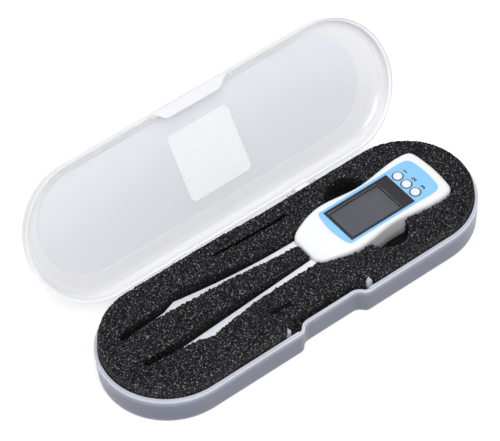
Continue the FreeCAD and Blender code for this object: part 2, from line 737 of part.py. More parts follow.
def overlay_prism(inset):
    """The overlay's solid, with its two front corners rounded."""
    top = size("head_height")
    thickness = size("overlay_thickness")
    solid = prism(overlay_outline(inset, top - thickness), thickness)
    corner = size("overlay_front") + inset + size("overlay_bow")
    upright_edges = [edge for edge in solid.Edges if edge.BoundBox.ZLength > thickness / 2]
    rounds = [edge for edge in upright_edges if abs(edge.BoundBox.XMin - corner) < TOLERANCE]
    return solid.makeFillet(size("overlay_round"), rounds)


def window_pocket():
    """The seat of the display window, down from the face."""
    gap = size("window_gap")
    half_length = size("window_length") / 2 + gap
    half_width = size("window_width") / 2 + gap
    middle, top = size("window_x"), size("head_height")
    low = (middle - half_length, -half_width, top - size("window_thickness"))
    return box_between(low, (middle + half_length, half_width, top))


def button_places():
    return [(size("button_x"), row * size("button_pitch")) for row in (1, 0, -1)]


def button_holes():
    bore = size("button_diameter") + 2 * size("button_gap")
    return [upright(bore, x, y, size("board_top"), size("head_height")) for x, y in button_places()]


def post_places():
    """The two posts under the face that the board is screwed to."""
    return [(size("post_x"), size("post_y")), (size("post_x"), -size("post_y"))]


def boss_diameter():
    return size("screw_diameter") + 2 * size("boss_wall")


def front_shell():
    """The head's upper shell with its face recesses, bosses and posts."""
    seam = size("seam_height") + size("shell_gap")
    top, ceiling = size("head_height"), size("head_height") - size("head_roof")
    outer = head_block(0, seam, top)
    rims = [edge for edge in outer.Edges if edge.BoundBox.ZMin > seam + size("face_round")]
    shell = outer.makeFillet(size("face_round"), rims).cut(head_block(size("head_wall"), seam, ceiling))
    bosses = [upright(boss_diameter(), x, y, size("seam_height"), ceiling) for x, y in screw_places()]
    bosses += [upright(boss_diameter(), x, y, size("board_top"), ceiling) for x, y in post_places()]
    room = head_block(0, size("seam_height"), ceiling)
    shell = shell.fuse([boss.common(room) for boss in bosses])
    reach = size("screw_sink") + size("screw_head_height") + size("screw_length")
    holes = [upright(size("screw_diameter"), x, y, 0, reach) for x, y in screw_places()]
    reach = size("board_top") - size("board_thickness") + size("board_screw_length")
    holes += [upright(size("screw_diameter"), x, y, 0, reach) for x, y in post_places()]
    half_length, half_width = size("view_length") / 2, size("view_width") / 2
    middle = size("view_x")
    low = (middle - half_length, -half_width, size("board_top"))
    view = box_between(low, (middle + half_length, half_width, top))
    recesses = [overlay_prism(-size("overlay_gap")), window_pocket(), view]
    return shell.cut(recesses + button_holes() + holes + arm_openings())


def face_overlay():
    """The thin printed overlay around the window and the buttons."""
    return overlay_prism(0).cut([window_pocket()] + button_holes())


def door_box(margin, low, high):
    """A box over the battery door's outline, wider by a margin."""
    half_length = size("door_length") / 2 + margin
    half_width = size("door_width") / 2 + margin
    middle = size("door_x")
    corner = (middle - half_length, -half_width, low)
    return box_between(corner, (middle + half_length, half_width, high))


def rear_shell():
    """The head's lower shell with its bosses and the battery opening."""
    seam, wall = size("seam_height"), size("head_wall")
    outer = prism(head_outline(0, 0), seam)
    outer = outer.makeFillet(size("belly_round"), flat_edges(outer, 0))
    inner = prism(head_outline(wall, wall), seam - wall)
    inner = inner.makeFillet(size("belly_round") - wall, flat_edges(inner, wall))
    shell = outer.cut(inner)
    bosses = [upright(boss_diameter(), x, y, 0, seam) for x, y in screw_places()]
    bosses.append(upright(boss_diameter(), size("door_screw_x"), 0, wall, seam - size("shell_gap")))
    bosses.append(door_box(size("ledge_rim"), wall, wall + size("ledge_thickness")))
    shell = shell.fuse([boss.common(outer) for boss in bosses])
    boss_edge = size("door_screw_x") - boss_diameter() / 2 - size("door_gap")
    beyond = box_between((boss_edge, -HALF_WIDTH, 0), (size("head_back"), HALF_WIDTH, seam))
    opening = door_box(-size("door_ledge"), 0, seam).cut(beyond)
    cuts = [door_box(size("door_gap"), 0, wall), opening]
    bore = size("screw_diameter") + 2 * size("running_gap")
    head_room = size("screw_head") + 2 * size("head_gap")
    sink = size("screw_sink") + size("screw_head_height")
    for x, y in screw_places():
        cuts += [upright(bore, x, y, 0, seam), upright(head_room, x, y, 0, sink)]
    cuts.append(upright(size("screw_diameter"), size("door_screw_x"), 0, 0, seam))
    return shell.cut(cuts + arm_openings())


def prong_clamp():
    """The block in the nose that grips the roots of both arms."""
    front, wall = size("clamp_front"), size("clamp_wall")
    half = size("clamp_width") / 2
    low = (front, -half, size("arm_bottom") - wall)
    block_shape = box_between(low, (front + size("clamp_length"), half, size("arm_top") + wall))
    inside = prism(head_outline(size("head_wall") + size("arm_gap"), 0), size("head_height"))
    block_shape = block_shape.common(inside)
    gap = size("blade_gap")
    rooms = [arm_prism(side, gap, size("arm_bottom") - gap, size("arm_top") + gap) for side in (1, -1)]
    return block_shape.cut(rooms + [blade(side, gap) for side in (1, -1)])


# ---------------------------------------------------------------- pieces tied to the sheet

BOARD_LOW = "board_top - board_thickness"
CELL_LOW = "head_wall + ledge_thickness + contact_thickness"
CELL_TOP = f"{CELL_LOW} + cell_thickness"
CEILING = "head_height - head_roof"


def display_window():
    return block(
        "display_window", "window_length", "window_width", "window_thickness",
        "window_x", "0", "head_height - window_thickness", METER,
    )


def display_panel():
    return block(
        "display_panel", "panel_length", "panel_width", "panel_thickness",
        "view_x", "0", f"{CEILING} - window_gap - panel_thickness", METER,
    )


def corners_of(length, width):
    """The corners of a rectangle centred on the origin."""
    half_length, half_width = f"({length}) / 2", f"({width}) / 2"
    return [
        (f"-{half_length}", f"-{half_width}"),
        (half_length, f"-{half_width}"),
        (half_length, half_width),
        (f"-{half_length}", half_width),
    ]


def display_frame():
    """The open frame that holds the panel above the board."""
    body = doc.addObject("PartDesign::Body", "display_frame")
    sketch = sketch_on(body, "XY_Plane", "FrameOutline")
    inner = ("panel_length + 2 * window_gap", "panel_width + 2 * window_gap")
    polygon(sketch, corners_of(f"{inner[0]} + 2 * frame_wall", f"{inner[1]} + 2 * frame_wall"))
    polygon(sketch, corners_of(*inner))
    pad(body, sketch, f"{CEILING} - board_top")
    return seat(body, "view_x", "0", "board_top", METER)


def main_board():
    """The circuit board, with holes for its two screws."""
    body = doc.addObject("PartDesign::Body", "main_board")
    sketch = sketch_on(body, "XY_Plane", "BoardOutline")
    polygon(sketch, corners_of("board_length", "board_width"))
    pad(body, sketch, "board_thickness")
    holes = sketch_on(body, "XY_Plane", "BoardHoles")
    for side in ("", "-"):
        disc(holes, "screw_diameter + 2 * running_gap", "post_x - board_x", f"{side}post_y")
    pocket(body, holes, "board_thickness")
    return seat(body, "board_x", "0", BOARD_LOW, METER)


def control_chip():
    return block(
        "control_chip", "chip_side", "chip_side", "chip_height",
        "view_x", "0", "board_top", METER,
    )


def contact_strips():
    """The two rubber strips that join the panel to the board."""
    height = f"{CEILING} - window_gap - panel_thickness - board_top"
    sides = ("strip_spacing / 2", "-strip_spacing / 2")
    pieces = [
        block(
            f"ContactStrip{number}", "strip_length", "strip_width", height,
            "view_x", y, "board_top", METER,
        )
        for number, y in enumerate(sides, 1)
    ]
    return group("contact_strips", pieces)


def tact_switches():
    """Three switches, each with a bore for its button's stem."""
    pieces = []
    for number, row in enumerate((1, 0, -1), 1):
        y = f"{row} * button_pitch"
        case = block(
            f"SwitchCase{number}", "switch_side", "switch_side", "switch_height",
            "button_x", y, "board_top", METER,
        )
        bore = rod(
            f"SwitchBore{number}", "switch_bore", "switch_bore_depth",
            "button_x", y, "board_top + switch_height - switch_bore_depth", METER,
        )
        pieces.append(cut(f"Switch{number}", case, bore))
    return group("tact_switches", pieces)


def button(label, row):
    """A push button turned in one profile: stem, flange and domed cap."""
    body = doc.addObject("PartDesign::Body", label)
    sketch = sketch_on(body, "XZ_Plane", f"{label}_profile")
    stem = "stem_diameter / 2"
    flange = "flange_diameter / 2"
    cap = "button_diameter / 2"
    low = "board_top + switch_height - switch_bore_depth + stem_gap + button_travel"
    flange_top = f"{CEILING} - flange_gap"
    flange_low = f"{flange_top} - flange_thickness"
    top = "head_height + button_rise"
    profile = [("0", low), (stem, low), (stem, flange_low), (flange, flange_low)]
    profile += [(flange, flange_top), (cap, flange_top), (cap, top), ("0", top)]
    polygon(sketch, profile)
    turned = body.newObject("PartDesign::Revolution", f"{label}_turned")
    turned.Profile = sketch
    turned.ReferenceAxis = (sketch, ["V_Axis"])
    turned.Angle = 360
    doc.recompute()
    dome = body.newObject("PartDesign::Fillet", f"{label}_dome")
    dome.Base = (turned, [round_edge(turned.Shape, size_of(top), size_of(cap))])
    dome.setExpression("Radius", formula("button_rise"))
    return seat(body, "button_x", f"{row} * button_pitch", "0", METER)


def round_edge(shape, height, radius):
    """The name of the circular edge at one height and radius."""
    for number, edge in enumerate(shape.Edges, 1):
        is_round = hasattr(edge.Curve, "Radius") and abs(edge.Curve.Radius - radius) < TOLERANCE
        if is_round and abs(edge.BoundBox.ZMin - height) < TOLERANCE:
            return f"Edge{number}"
    raise ValueError(f"no round edge at {height}")


def coin_cell():
    return rod("coin_cell", "cell_diameter", "cell_thickness", "cell_x", "0", CELL_LOW, METER)


def battery_holder():
    """The ring under the board that keeps the cell in place."""
    bore = "cell_diameter + 2 * cell_gap"
    height = f"{BOARD_LOW} - ({CELL_LOW})"
    ring = rod("HolderRing", f"{bore} + 2 * holder_wall", height, "cell_x", "0", CELL_LOW, METER)
    hole = rod("HolderBore", bore, height, "cell_x", "0", CELL_LOW, METER)
    return cut("battery_holder", ring, hole)


def battery_contacts():
    """Two sprung strips: one on the cell's top, one under it with a riser to the board."""
    post = block(
        "UpperContactPost", "contact_width", "contact_width", f"{BOARD_LOW} - ({CELL_TOP})",
        "cell_x", "0", CELL_TOP, METER,
    )
    riser_x = "cell_x - cell_diameter / 2 - cell_gap - holder_wall - contact_thickness"
    strip = block(
        "LowerContactStrip", "contact_length", "contact_width", "contact_thickness",
        f"{riser_x} + contact_length / 2", "0", f"{CELL_LOW} - contact_thickness", METER,
    )
    riser = block(
        "LowerContactRiser", "contact_thickness", "contact_width",
        f"{BOARD_LOW} - ({CELL_LOW}) + contact_thickness",
        riser_x, "0", f"{CELL_LOW} - contact_thickness", METER,
    )
    return group("battery_contacts", [post, fuse("LowerContact", [strip, riser])])


def battery_door():
    """The flush door over the cell, with a counterbored screw hole."""
    body = doc.addObject("PartDesign::Body", "battery_door")
    sketch = sketch_on(body, "XY_Plane", "DoorOutline")
    polygon(sketch, corners_of("door_length", "door_width"))
    pad(body, sketch, "head_wall")
    for name, width, depth in (
        ("DoorBore", "screw_diameter + 2 * running_gap", "head_wall"),
        ("DoorCounterbore", "screw_head + 2 * head_gap", "door_screw_sink + screw_head_height"),
    ):
        hole = sketch_on(body, "XY_Plane", name)
        disc(hole, width, "door_screw_x - door_x", "0")
        pocket(body, hole, depth, f"{name}Pocket")
    return seat(body, "door_x", "0", "0", METER)


def screw(label, length, x, y, low):
    """A slotted pan-head screw pointing up, its head standing on low."""
    head = rod(f"{label}Head", "screw_head", "screw_head_height", x, y, low, METER)
    shank = rod(f"{label}Shank", "screw_diameter", f"screw_head_height + {length}", x, y, low, METER)
    slot = block(f"{label}Slot", "screw_head", "screw_slot", "screw_head_height / 2", x, y, low, METER)
    return cut(label, fuse(f"{label}Blank", [head, shank]), slot)


def housing_screws():
    places = [("front_boss_x", "front_boss_y"), ("front_boss_x", "-front_boss_y")]
    places += [("rear_boss_x", "rear_boss_y"), ("rear_boss_x", "-rear_boss_y")]
    pieces = [
        screw(f"HousingScrew{number}", "screw_length", x, y, "screw_sink")
        for number, (x, y) in enumerate(places, 1)
    ]
    return group("housing_screws", pieces)


def board_screws():
    low = f"{BOARD_LOW} - screw_head_height"
    pieces = [
        screw(f"BoardScrew{number}", "board_screw_length", "post_x", y, low)
        for number, y in enumerate(("post_y", "-post_y"), 1)
    ]
    return group("board_screws", pieces)


def door_screw():
    return screw("door_screw", "door_screw_length", "door_screw_x", "0", "door_screw_sink")


def lead_strips():
    """The strips that join the blades to the board."""
    root, end = "(root_inner + root_outer) / 2", "(end_inner + end_outer) / 2"
    lean = f"({end} - {root}) / (arm_end - arm_root)"
    across = f"({root} + {lean} * (blade_root - arm_root))"
    pieces = [
        block(
            f"Lead{number}", "lead_length", "lead_width", "lead_thickness",
            "blade_root - lead_overlap + lead_length / 2", f"{side}{across}", "board_top", METER,
        )
        for number, side in enumerate(("", "-"), 1)
    ]
    return group("lead_strips", pieces)


def hinge_pins():
    """Two steel pins through the ears and knuckles."""
    length = "knuckle_length + 2 * (knuckle_gap + ear_length)"
    pieces = [
        long_rod(
            f"HingePin{number}", "pin_diameter", length, f"{side}hinge_spacing / 2",
            "case_width / 2 + hinge_offset", "base_height - hinge_drop",
        )
        for number, side in enumerate(("", "-"), 1)
    ]
    return group("hinge_pins", pieces)


# ---------------------------------------------------------------- the whole object

ON_METER = FreeCAD.Placement(METER_HOME, FreeCAD.Rotation())

nodes = [
    shaped("case_base", case_base()),
    shaped("foam_insert", foam_insert()),
    hinge_pins(),
    shaped("case_lid", case_lid(), lid_swing()),
    lid_label(),
    shaped("front_shell", front_shell(), ON_METER),
    shaped("rear_shell", rear_shell(), ON_METER),
    shaped("face_overlay", face_overlay(), ON_METER),
    display_window(),
    display_panel(),
    display_frame(),
    contact_strips(),
    main_board(),
    control_chip(),
    tact_switches(),
    button("button_up", 1),
    button("button_set", 0),
    button("button_down", -1),
    coin_cell(),
    battery_holder(),
    battery_contacts(),
    battery_door(),
    door_screw(),
    housing_screws(),
    board_screws(),
    shaped("prong_clamp", prong_clamp(), ON_METER),
    shaped("prong_sheath_left", sheath(1), ON_METER),
    shaped("prong_sheath_right", sheath(-1), ON_METER),
    shaped("prong_blade_left", blade(1, 0), ON_METER),
    shaped("prong_blade_right", blade(-1, 0), ON_METER),
    shaped("temperature_sensor", sensor(1), ON_METER),
    lead_strips(),
]

doc.recompute()

for thing in doc.Objects:
    if "Invalid" in thing.State or "Error" in thing.State:
        raise RuntimeError(f"{thing.Label} did not build: {thing.State}")
for node in nodes:
    if node.Shape.isNull() or not node.Shape.isValid() or not node.Shape.Solids:
        raise RuntimeError(f"{node.Label} has no valid solid")

os.makedirs("parts", exist_ok=True)
for node in nodes:
    node.Shape.exportStep(f"parts/{node.Label}.step")
    print(node.Label, len(node.Shape.Solids), round(node.Shape.Volume, 1))
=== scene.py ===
# %% [markdown]
# # A two-prong probe meter in its foam-lined case
#
# The object is a small hand-held meter with two flat prongs. It lies in the black
# foam of a round-ended case of frosted plastic, whose lid stands open behind it.
# The construction is already made: every rigid piece comes in at its real size and place. This lesson gives
# each surface its finish, and makes the few pieces whose look is more than a clean solid: the rough foam, the
# printed numbers, the rings of painted shade round the buttons, and the mask and the seal of the display
# window.

# %% The tools and the frame
import json
import math

import bmesh
import bpy
from mathutils import Matrix, Vector, noise


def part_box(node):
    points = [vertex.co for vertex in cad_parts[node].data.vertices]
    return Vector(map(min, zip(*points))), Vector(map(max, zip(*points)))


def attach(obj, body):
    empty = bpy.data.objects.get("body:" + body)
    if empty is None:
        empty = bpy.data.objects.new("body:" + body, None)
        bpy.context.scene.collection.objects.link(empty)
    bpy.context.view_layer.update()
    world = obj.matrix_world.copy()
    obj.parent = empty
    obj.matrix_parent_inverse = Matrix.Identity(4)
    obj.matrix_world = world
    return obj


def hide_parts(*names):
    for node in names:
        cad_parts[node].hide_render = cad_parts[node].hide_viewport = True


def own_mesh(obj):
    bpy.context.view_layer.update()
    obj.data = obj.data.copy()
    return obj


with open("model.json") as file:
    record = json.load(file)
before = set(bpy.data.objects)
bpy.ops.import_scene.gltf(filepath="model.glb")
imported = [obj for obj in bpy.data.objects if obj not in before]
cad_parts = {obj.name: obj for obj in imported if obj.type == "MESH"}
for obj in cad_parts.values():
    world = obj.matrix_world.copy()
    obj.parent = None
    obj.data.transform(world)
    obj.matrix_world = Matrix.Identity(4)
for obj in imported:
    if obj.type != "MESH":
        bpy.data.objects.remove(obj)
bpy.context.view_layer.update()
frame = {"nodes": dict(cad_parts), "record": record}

# %% [markdown]
# ## Working in millimetres
#
# Blender measures in metres, but a maker thinks in millimetres. One constant turns
# one into the other. A procedural pattern is set by how many times it repeats in a
# metre, so a second small function turns the size of one cell into that number.

# %% Units
MM = 0.001


def repeats(size_mm):
    """How many times a pattern of this cell size fits into a metre."""
    return 1 / (size_mm * MM)


print("a 0.5 mm grain repeats", round(repeats(0.5)), "times in a metre")

# %% [markdown]
# ## Colours
#
# A colour is given as an sRGB code such as #8ccdff. The shader works in linear light, where a middle grey is
# 0.21 and not 0.5. One function makes the change for each channel, with the exact sRGB curve.


# %% Colours
def linear(code):
    """The linear colour of an sRGB hex code."""
    channels = []
    for start in (1, 3, 5):
        value = int(code[start:start + 2], 16) / 255
        channels.append(value / 12.92 if value <= 0.04045 else ((value + 0.055) / 1.055) ** 2.4)
    return (*channels, 1.0)


print("mid grey in linear light:", round(linear("#808080")[0], 3))

# %% [markdown]
# ## Building a material from nodes
#
# A material is a small graph: texture nodes feed colour, roughness and bump into one
# Principled BSDF. Two helpers keep the graphs short. The first starts a material with
# its shader and sets the constants on the shader's own sockets. The second adds any
# node with its properties, its fixed inputs and its links in one call.


# %% Material helpers
def start_material(name, **constants):
    """A new material with a Principled BSDF whose sockets hold these constants."""
    material = bpy.data.materials.new(name)
    material.use_nodes = True
    shader = material.node_tree.nodes["Principled BSDF"]
    for socket, value in constants.items():
        shader.inputs[socket.replace("_", " ")].default_value = value
    return material, material.node_tree, shader


def add(tree, kind, properties=None, inputs=None, links=None):
    """Adds a node, sets its properties and inputs, and links other sockets into it."""
    node = tree.nodes.new(kind)
    for name, value in (properties or {}).items():
        setattr(node, name, value)
    for name, value in (inputs or {}).items():
        node.inputs[name].default_value = value
    for name, socket in (links or {}).items():
        tree.links.new(socket, node.inputs[name])
    return node


print("helpers ready")

# %% [markdown]
# ## Fine mould texture
#
# Nearly every plastic piece here is injection moulded. Its steel mould was eroded by
# sparks, which leaves a fine even grain on the part. The same two steps give it to
# each plastic: a noise, a few times coarser than the real grain so that it still shows,
# and a bump a few hundredths of a millimetre high at most, which tilts the light.
# Object coordinates tie the grain to the piece.


# %% Mould texture
def mould_texture(tree, shader, grain_mm, depth_mm, strength=0.5):
    """Gives a moulded surface a spark-eroded grain as bump, and returns the coordinates it lies on."""
    place = add(tree, "ShaderNodeTexCoord").outputs["Object"]
    grain = add(
        tree, "ShaderNodeTexNoise", inputs={"Scale": repeats(grain_mm), "Detail": 3.0},
        links={"Vector": place},
    )
    bump = add(
        tree, "ShaderNodeBump", inputs={"Strength": strength, "Distance": depth_mm * MM},
        links={"Height": grain.outputs["Fac"]},
    )
    tree.links.new(bump.outputs["Normal"], shader.inputs["Normal"])
    return place


def mottle(tree, shader, place, dark, light, size_mm):
    """A faint cloudy change between two near colours."""
    clouds = add(
        tree, "ShaderNodeTexNoise", inputs={"Scale": repeats(size_mm), "Detail": 2.0},
        links={"Vector": place},
    )
    blend = add(
        tree, "ShaderNodeMix", {"data_type": "RGBA"}, {"A": linear(dark), "B": linear(light)},
        {"Factor": clouds.outputs["Fac"]},
    )
    tree.links.new(blend.outputs["Result"], shader.inputs["Base Color"])


print("texture functions ready")

# %% [markdown]
# ## Frosted polypropylene: the case and its lid
#
# The case is unpigmented polypropylene, a little over a millimetre thick. It lets
# about half of the light through but scatters it, so the white table shows through the
# lid as a pale grey and the black foam darkens the tray's walls to a cool grey. A
# Principled shader does both at once: the transmission is the part of the light that
# goes through, the roughness scatters it, and the rest comes back from the milky surface.
#
# The walls are seen along their height and not through their thickness, so they look milkier than the flat
# floor, and the clear share follows the height of a point between the floor and the rim. The colour follows
# that height too, as painted light and shade: the tray's rim is painted lighter, as if lit from above, with a
# painted dark line of shade under it, and its wall darker towards the bottom; the lid's walls are painted a
# touch darker than its floor. The tray's height is plain Z. The lid stands open, so its height runs along the
# way its rim faces, which is worked out from the range of the hinge.


# %% Frosted polypropylene
CASE_HEIGHT = 14.5 * MM
LID_HEIGHT = 8.8 * MM
HINGE_ABOVE_RIM = 0.5 * MM


def lid_facing():
    """The way that the open lid's rim faces, the height of its rim plane along it, and the hinge pin."""
    hinge = next(joint for joint in frame["record"]["behaviour"]["joints"] if joint["name"] == "lid_hinge")
    # turned right over, by 180 degrees, the lid's rim would face straight up
    lean = math.radians(180 + hinge["range_deg"][0])
    way = Vector((0, -math.sin(lean), math.cos(lean)))
    pin = Vector(hinge["pos_m"])
    return way, way.dot(pin) - HINGE_ABOVE_RIM, pin


def frosted_polypropylene(name, painted_shading, up, rim, height, clearness, milky, roughness):
    """Translucent polypropylene whose colour follows its height, as painted light and shade.

    Up to the first of the two milky heights it is clearest, and from the second on opaque.
    """
    material, tree, shader = start_material(name, Roughness=roughness, IOR=1.49)
    place = mould_texture(tree, shader, grain_mm=0.35, depth_mm=0.02, strength=0.3)
    along = add(tree, "ShaderNodeVectorMath", {"operation": "DOT_PRODUCT"}, {1: up}, {0: place})
    rise = add(
        tree, "ShaderNodeMapRange", inputs={"From Min": rim - height, "From Max": rim},
        links={"Value": along.outputs["Value"]},
    )
    ramp = add(tree, "ShaderNodeValToRGB", links={"Fac": rise.outputs["Result"]})
    stops = ramp.color_ramp.elements
    stops[0].color = linear(painted_shading[0])
    stops[1].color = linear(painted_shading[-1])
    for share, shade in painted_shading[1:-1]:
        stops.new(share).color = linear(shade)
    clear = add(
        tree, "ShaderNodeMapRange",
        inputs={"From Min": milky[0], "From Max": milky[1], "To Min": clearness, "To Max": 0.0},
        links={"Value": rise.outputs["Result"]},
    )
    tree.links.new(ramp.outputs["Color"], shader.inputs["Base Color"])
    tree.links.new(clear.outputs["Result"], shader.inputs["Transmission Weight"])
    return material


# painted light and shade from the floor to the rim, with the share of the height that each shade between them
# lies at: the tray darker towards the bottom, a painted dark line of shade under a lighter rim, and the lid's
# walls a touch darker than its floor
TRAY_PAINTED_SHADING = ["#868ca0", (0.5, "#9298ab"), (0.86, "#999fb2"), (0.93, "#8b91a4"), "#d3d6e2"]
LID_PAINTED_SHADING = ["#fbfbfe", (0.25, "#fbfbfe"), (0.5, "#f8f8fb"), "#f8f8fb"]
lid_up, lid_rim, lid_hinge_place = lid_facing()
frosted_tray = frosted_polypropylene(
    "frosted_tray", TRAY_PAINTED_SHADING, (0, 0, 1), CASE_HEIGHT, CASE_HEIGHT,
    clearness=0.5, milky=(0.8, 0.9), roughness=0.35,
)
frosted_lid = frosted_polypropylene(
    "frosted_lid", LID_PAINTED_SHADING, lid_up, lid_rim, LID_HEIGHT,
    clearness=0.55, milky=(0.25, 0.5), roughness=0.2,
)
print("case plastics:", frosted_tray.name, frosted_lid.name)

# %% [markdown]
# ## The lid's panel
#
# The middle of the lid is a round-ended panel that lies a little deeper than the border round it. On a real
# lid the mould steps in there, so that the wide flat face keeps its shape as the plastic cools. A solid with
# one more step would do it too. But the step is a fraction of a millimetre high, and only its soft line and a
# paler border show. The lid's material draws the line as a bump, and the paler border as painted light: the
# panel is painted a shade darker than the border. The panel is everything nearer than half its width to a
# spine along its middle. It sits a little nearer one end and the catch.


# %% The lid's panel
PANEL_HALF_WIDTH = 25.8 * MM
PANEL_SPINE = 64.9 * MM
PANEL_SHIFT_X = -1.6 * MM
PANEL_SHIFT_UP = 2.5 * MM
PANEL_EDGE = 1.5 * MM
PANEL_STEP = 0.5 * MM
# painted shade: the panel is tinted a shade darker, so the border round it reads paler, as if lit
PANEL_PAINTED_SHADE = "#f9fafd"


def past_the_spine(tree, place):
    """How far a point lies beyond the nearer end of the panel's spine, as a socket."""
    sides = add(tree, "ShaderNodeSeparateXYZ", links={"Vector": place})
    along = add(
        tree, "ShaderNodeMath", {"operation": "SUBTRACT"}, {1: PANEL_SHIFT_X}, {0: sides.outputs["X"]},
    )
    from_middle = add(tree, "ShaderNodeMath", {"operation": "ABSOLUTE"}, links={0: along.outputs["Value"]})
    beyond = add(
        tree, "ShaderNodeMath", {"operation": "SUBTRACT"}, {1: PANEL_SPINE},
        {0: from_middle.outputs["Value"]},
    )
    past = add(tree, "ShaderNodeMath", {"operation": "MAXIMUM"}, {1: 0.0}, {0: beyond.outputs["Value"]})
    return past.outputs["Value"]


def beside_the_spine(tree, place):
    """How far a point lies from the panel's spine across the open lid, as a socket."""
    across = lid_up.cross(Vector((1, 0, 0)))
    # the lid's middle line is as far from the hinge pin as the tray's, which runs at Y = 0
    spine = across.dot(lid_hinge_place) + lid_hinge_place.y + PANEL_SHIFT_UP
    height = add(tree, "ShaderNodeVectorMath", {"operation": "DOT_PRODUCT"}, {1: across}, {0: place})
    beside = add(
        tree, "ShaderNodeMath", {"operation": "SUBTRACT"}, {1: spine}, {0: height.outputs["Value"]},
    )
    return beside.outputs["Value"]


def border_share(tree, place):
    """0 on the panel and 1 on the border round it, as a socket."""
    reach = add(
        tree, "ShaderNodeCombineXYZ",
        links={"X": past_the_spine(tree, place), "Y": beside_the_spine(tree, place)},
    )
    distance = add(
        tree, "ShaderNodeVectorMath", {"operation": "LENGTH"}, links={0: reach.outputs["Vector"]},
    )
    border = add(
        tree, "ShaderNodeMapRange", {"interpolation_type": "SMOOTHSTEP"},
        {"From Min": PANEL_HALF_WIDTH - PANEL_EDGE, "From Max": PANEL_HALF_WIDTH},
        {"Value": distance.outputs["Value"]},
    )
    return border.outputs["Result"]


def sink_panel(material):
    """Sets the panel off from the border: a step in the surface, and painted shade that leaves the border
    paler.
    """
    tree = material.node_tree
    shader = tree.nodes["Principled BSDF"]
    place = add(tree, "ShaderNodeTexCoord").outputs["Object"]
    border = border_share(tree, place)
    grain = shader.inputs["Normal"].links[0].from_socket
    colour = shader.inputs["Base Color"].links[0].from_socket
    step = add(
        tree, "ShaderNodeBump", inputs={"Strength": 0.8, "Distance": PANEL_STEP},
        links={"Height": border, "Normal": grain},
    )
    panel = add(tree, "ShaderNodeMath", {"operation": "SUBTRACT"}, {0: 1.0}, {1: border})
    tinted = add(
        tree, "ShaderNodeMix", {"data_type": "RGBA", "blend_type": "MULTIPLY"},
        {"B": linear(PANEL_PAINTED_SHADE)}, {"A": colour, "Factor": panel.outputs["Value"]},
    )
    tree.links.new(step.outputs["Normal"], shader.inputs["Normal"])
    tree.links.new(tinted.outputs["Result"], shader.inputs["Base Color"])


sink_panel(frosted_lid)
print("the lid's panel is set off")

# %% [markdown]
# ## White ABS: the meter's shells, arms and buttons
#
# The meter is moulded in white ABS. The upper shell is even. The lower shell lies deep in the black foam,
# which throws no light back at it, so painted shade greys its white towards the underside. The arms are a
# slightly bluer white, and the button caps are polished smoother than the shells.


# %% White plastics
def satin_abs(name, dark, light, roughness):
    """White moulded ABS with a satin grain."""
    material, tree, shader = start_material(name, Roughness=roughness, IOR=1.53)
    place = mould_texture(tree, shader, grain_mm=0.3, depth_mm=0.015, strength=0.35)
    mottle(tree, shader, place, dark, light, size_mm=12)
    return material


def shaded_abs(name, low_shade, high_shade, low, high):
    """White moulded ABS with painted shade that greys it towards its underside."""
    material, tree, shader = start_material(name, Roughness=0.4, IOR=1.53)
    place = mould_texture(tree, shader, grain_mm=0.3, depth_mm=0.015, strength=0.35)
    height = add(tree, "ShaderNodeSeparateXYZ", links={"Vector": place})
    rise = add(
        tree, "ShaderNodeMapRange", inputs={"From Min": low, "From Max": high},
        links={"Value": height.outputs["Z"]},
    )
    blend = add(
        tree, "ShaderNodeMix", {"data_type": "RGBA"}, {"A": linear(low_shade), "B": linear(high_shade)},
        {"Factor": rise.outputs["Result"]},
    )
    tree.links.new(blend.outputs["Result"], shader.inputs["Base Color"])
    return material


# painted shade: the lower shell greys from this height above its underside, and is white at its top
PAINTED_SHADE_START = 1 * MM
white_shell = satin_abs("satin_white_abs", "#f1f2f5", "#f7f8fa", 0.38)
lower_low, lower_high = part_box("rear_shell")
lower_shell = shaded_abs("white_abs_painted_shade", "#726e6c", "#eceaec", lower_low.z + PAINTED_SHADE_START, lower_high.z)
white_arm = satin_abs("satin_bluish_abs", "#edf0fa", "#f4f6fd", 0.42)
white_button = satin_abs("polished_white_abs", "#eeeef2", "#f5f5f8", 0.25)
print("white plastics:", white_shell.name, lower_shell.name, white_arm.name, white_button.name)

# %% [markdown]
# ## Dark moulded plastic, rubber and the board
#
# The pieces inside the head are never bright, but they are seen when the shells come
# apart. Black glass-filled nylon has a slightly rough, dull skin. The contact strips
# are silicone rubber, and the board is a green lacquered glass laminate whose copper
# tracks stand up under the lacquer as parallel lines, wider here than real ones.


# %% Inner materials
TRACK_PITCH = 3.77
# a wave texture of scale 1 repeats every tenth of pi
WAVE_PERIOD = math.pi / 10


def dark_nylon():
    """Black moulded nylon for frames, holders, switches and the clamp."""
    material, tree, shader = start_material("moulded_black_nylon", Roughness=0.55, IOR=1.53)
    place = mould_texture(tree, shader, grain_mm=0.25, depth_mm=0.02)
    mottle(tree, shader, place, "#1b1b1d", "#242426", size_mm=3)
    return material


def silicone_rubber():
    """The display's black contact strips."""
    material, tree, shader = start_material("moulded_silicone_rubber", Roughness=0.7, IOR=1.41)
    place = mould_texture(tree, shader, grain_mm=0.4, depth_mm=0.03)
    mottle(tree, shader, place, "#141415", "#202022", size_mm=2)
    return material


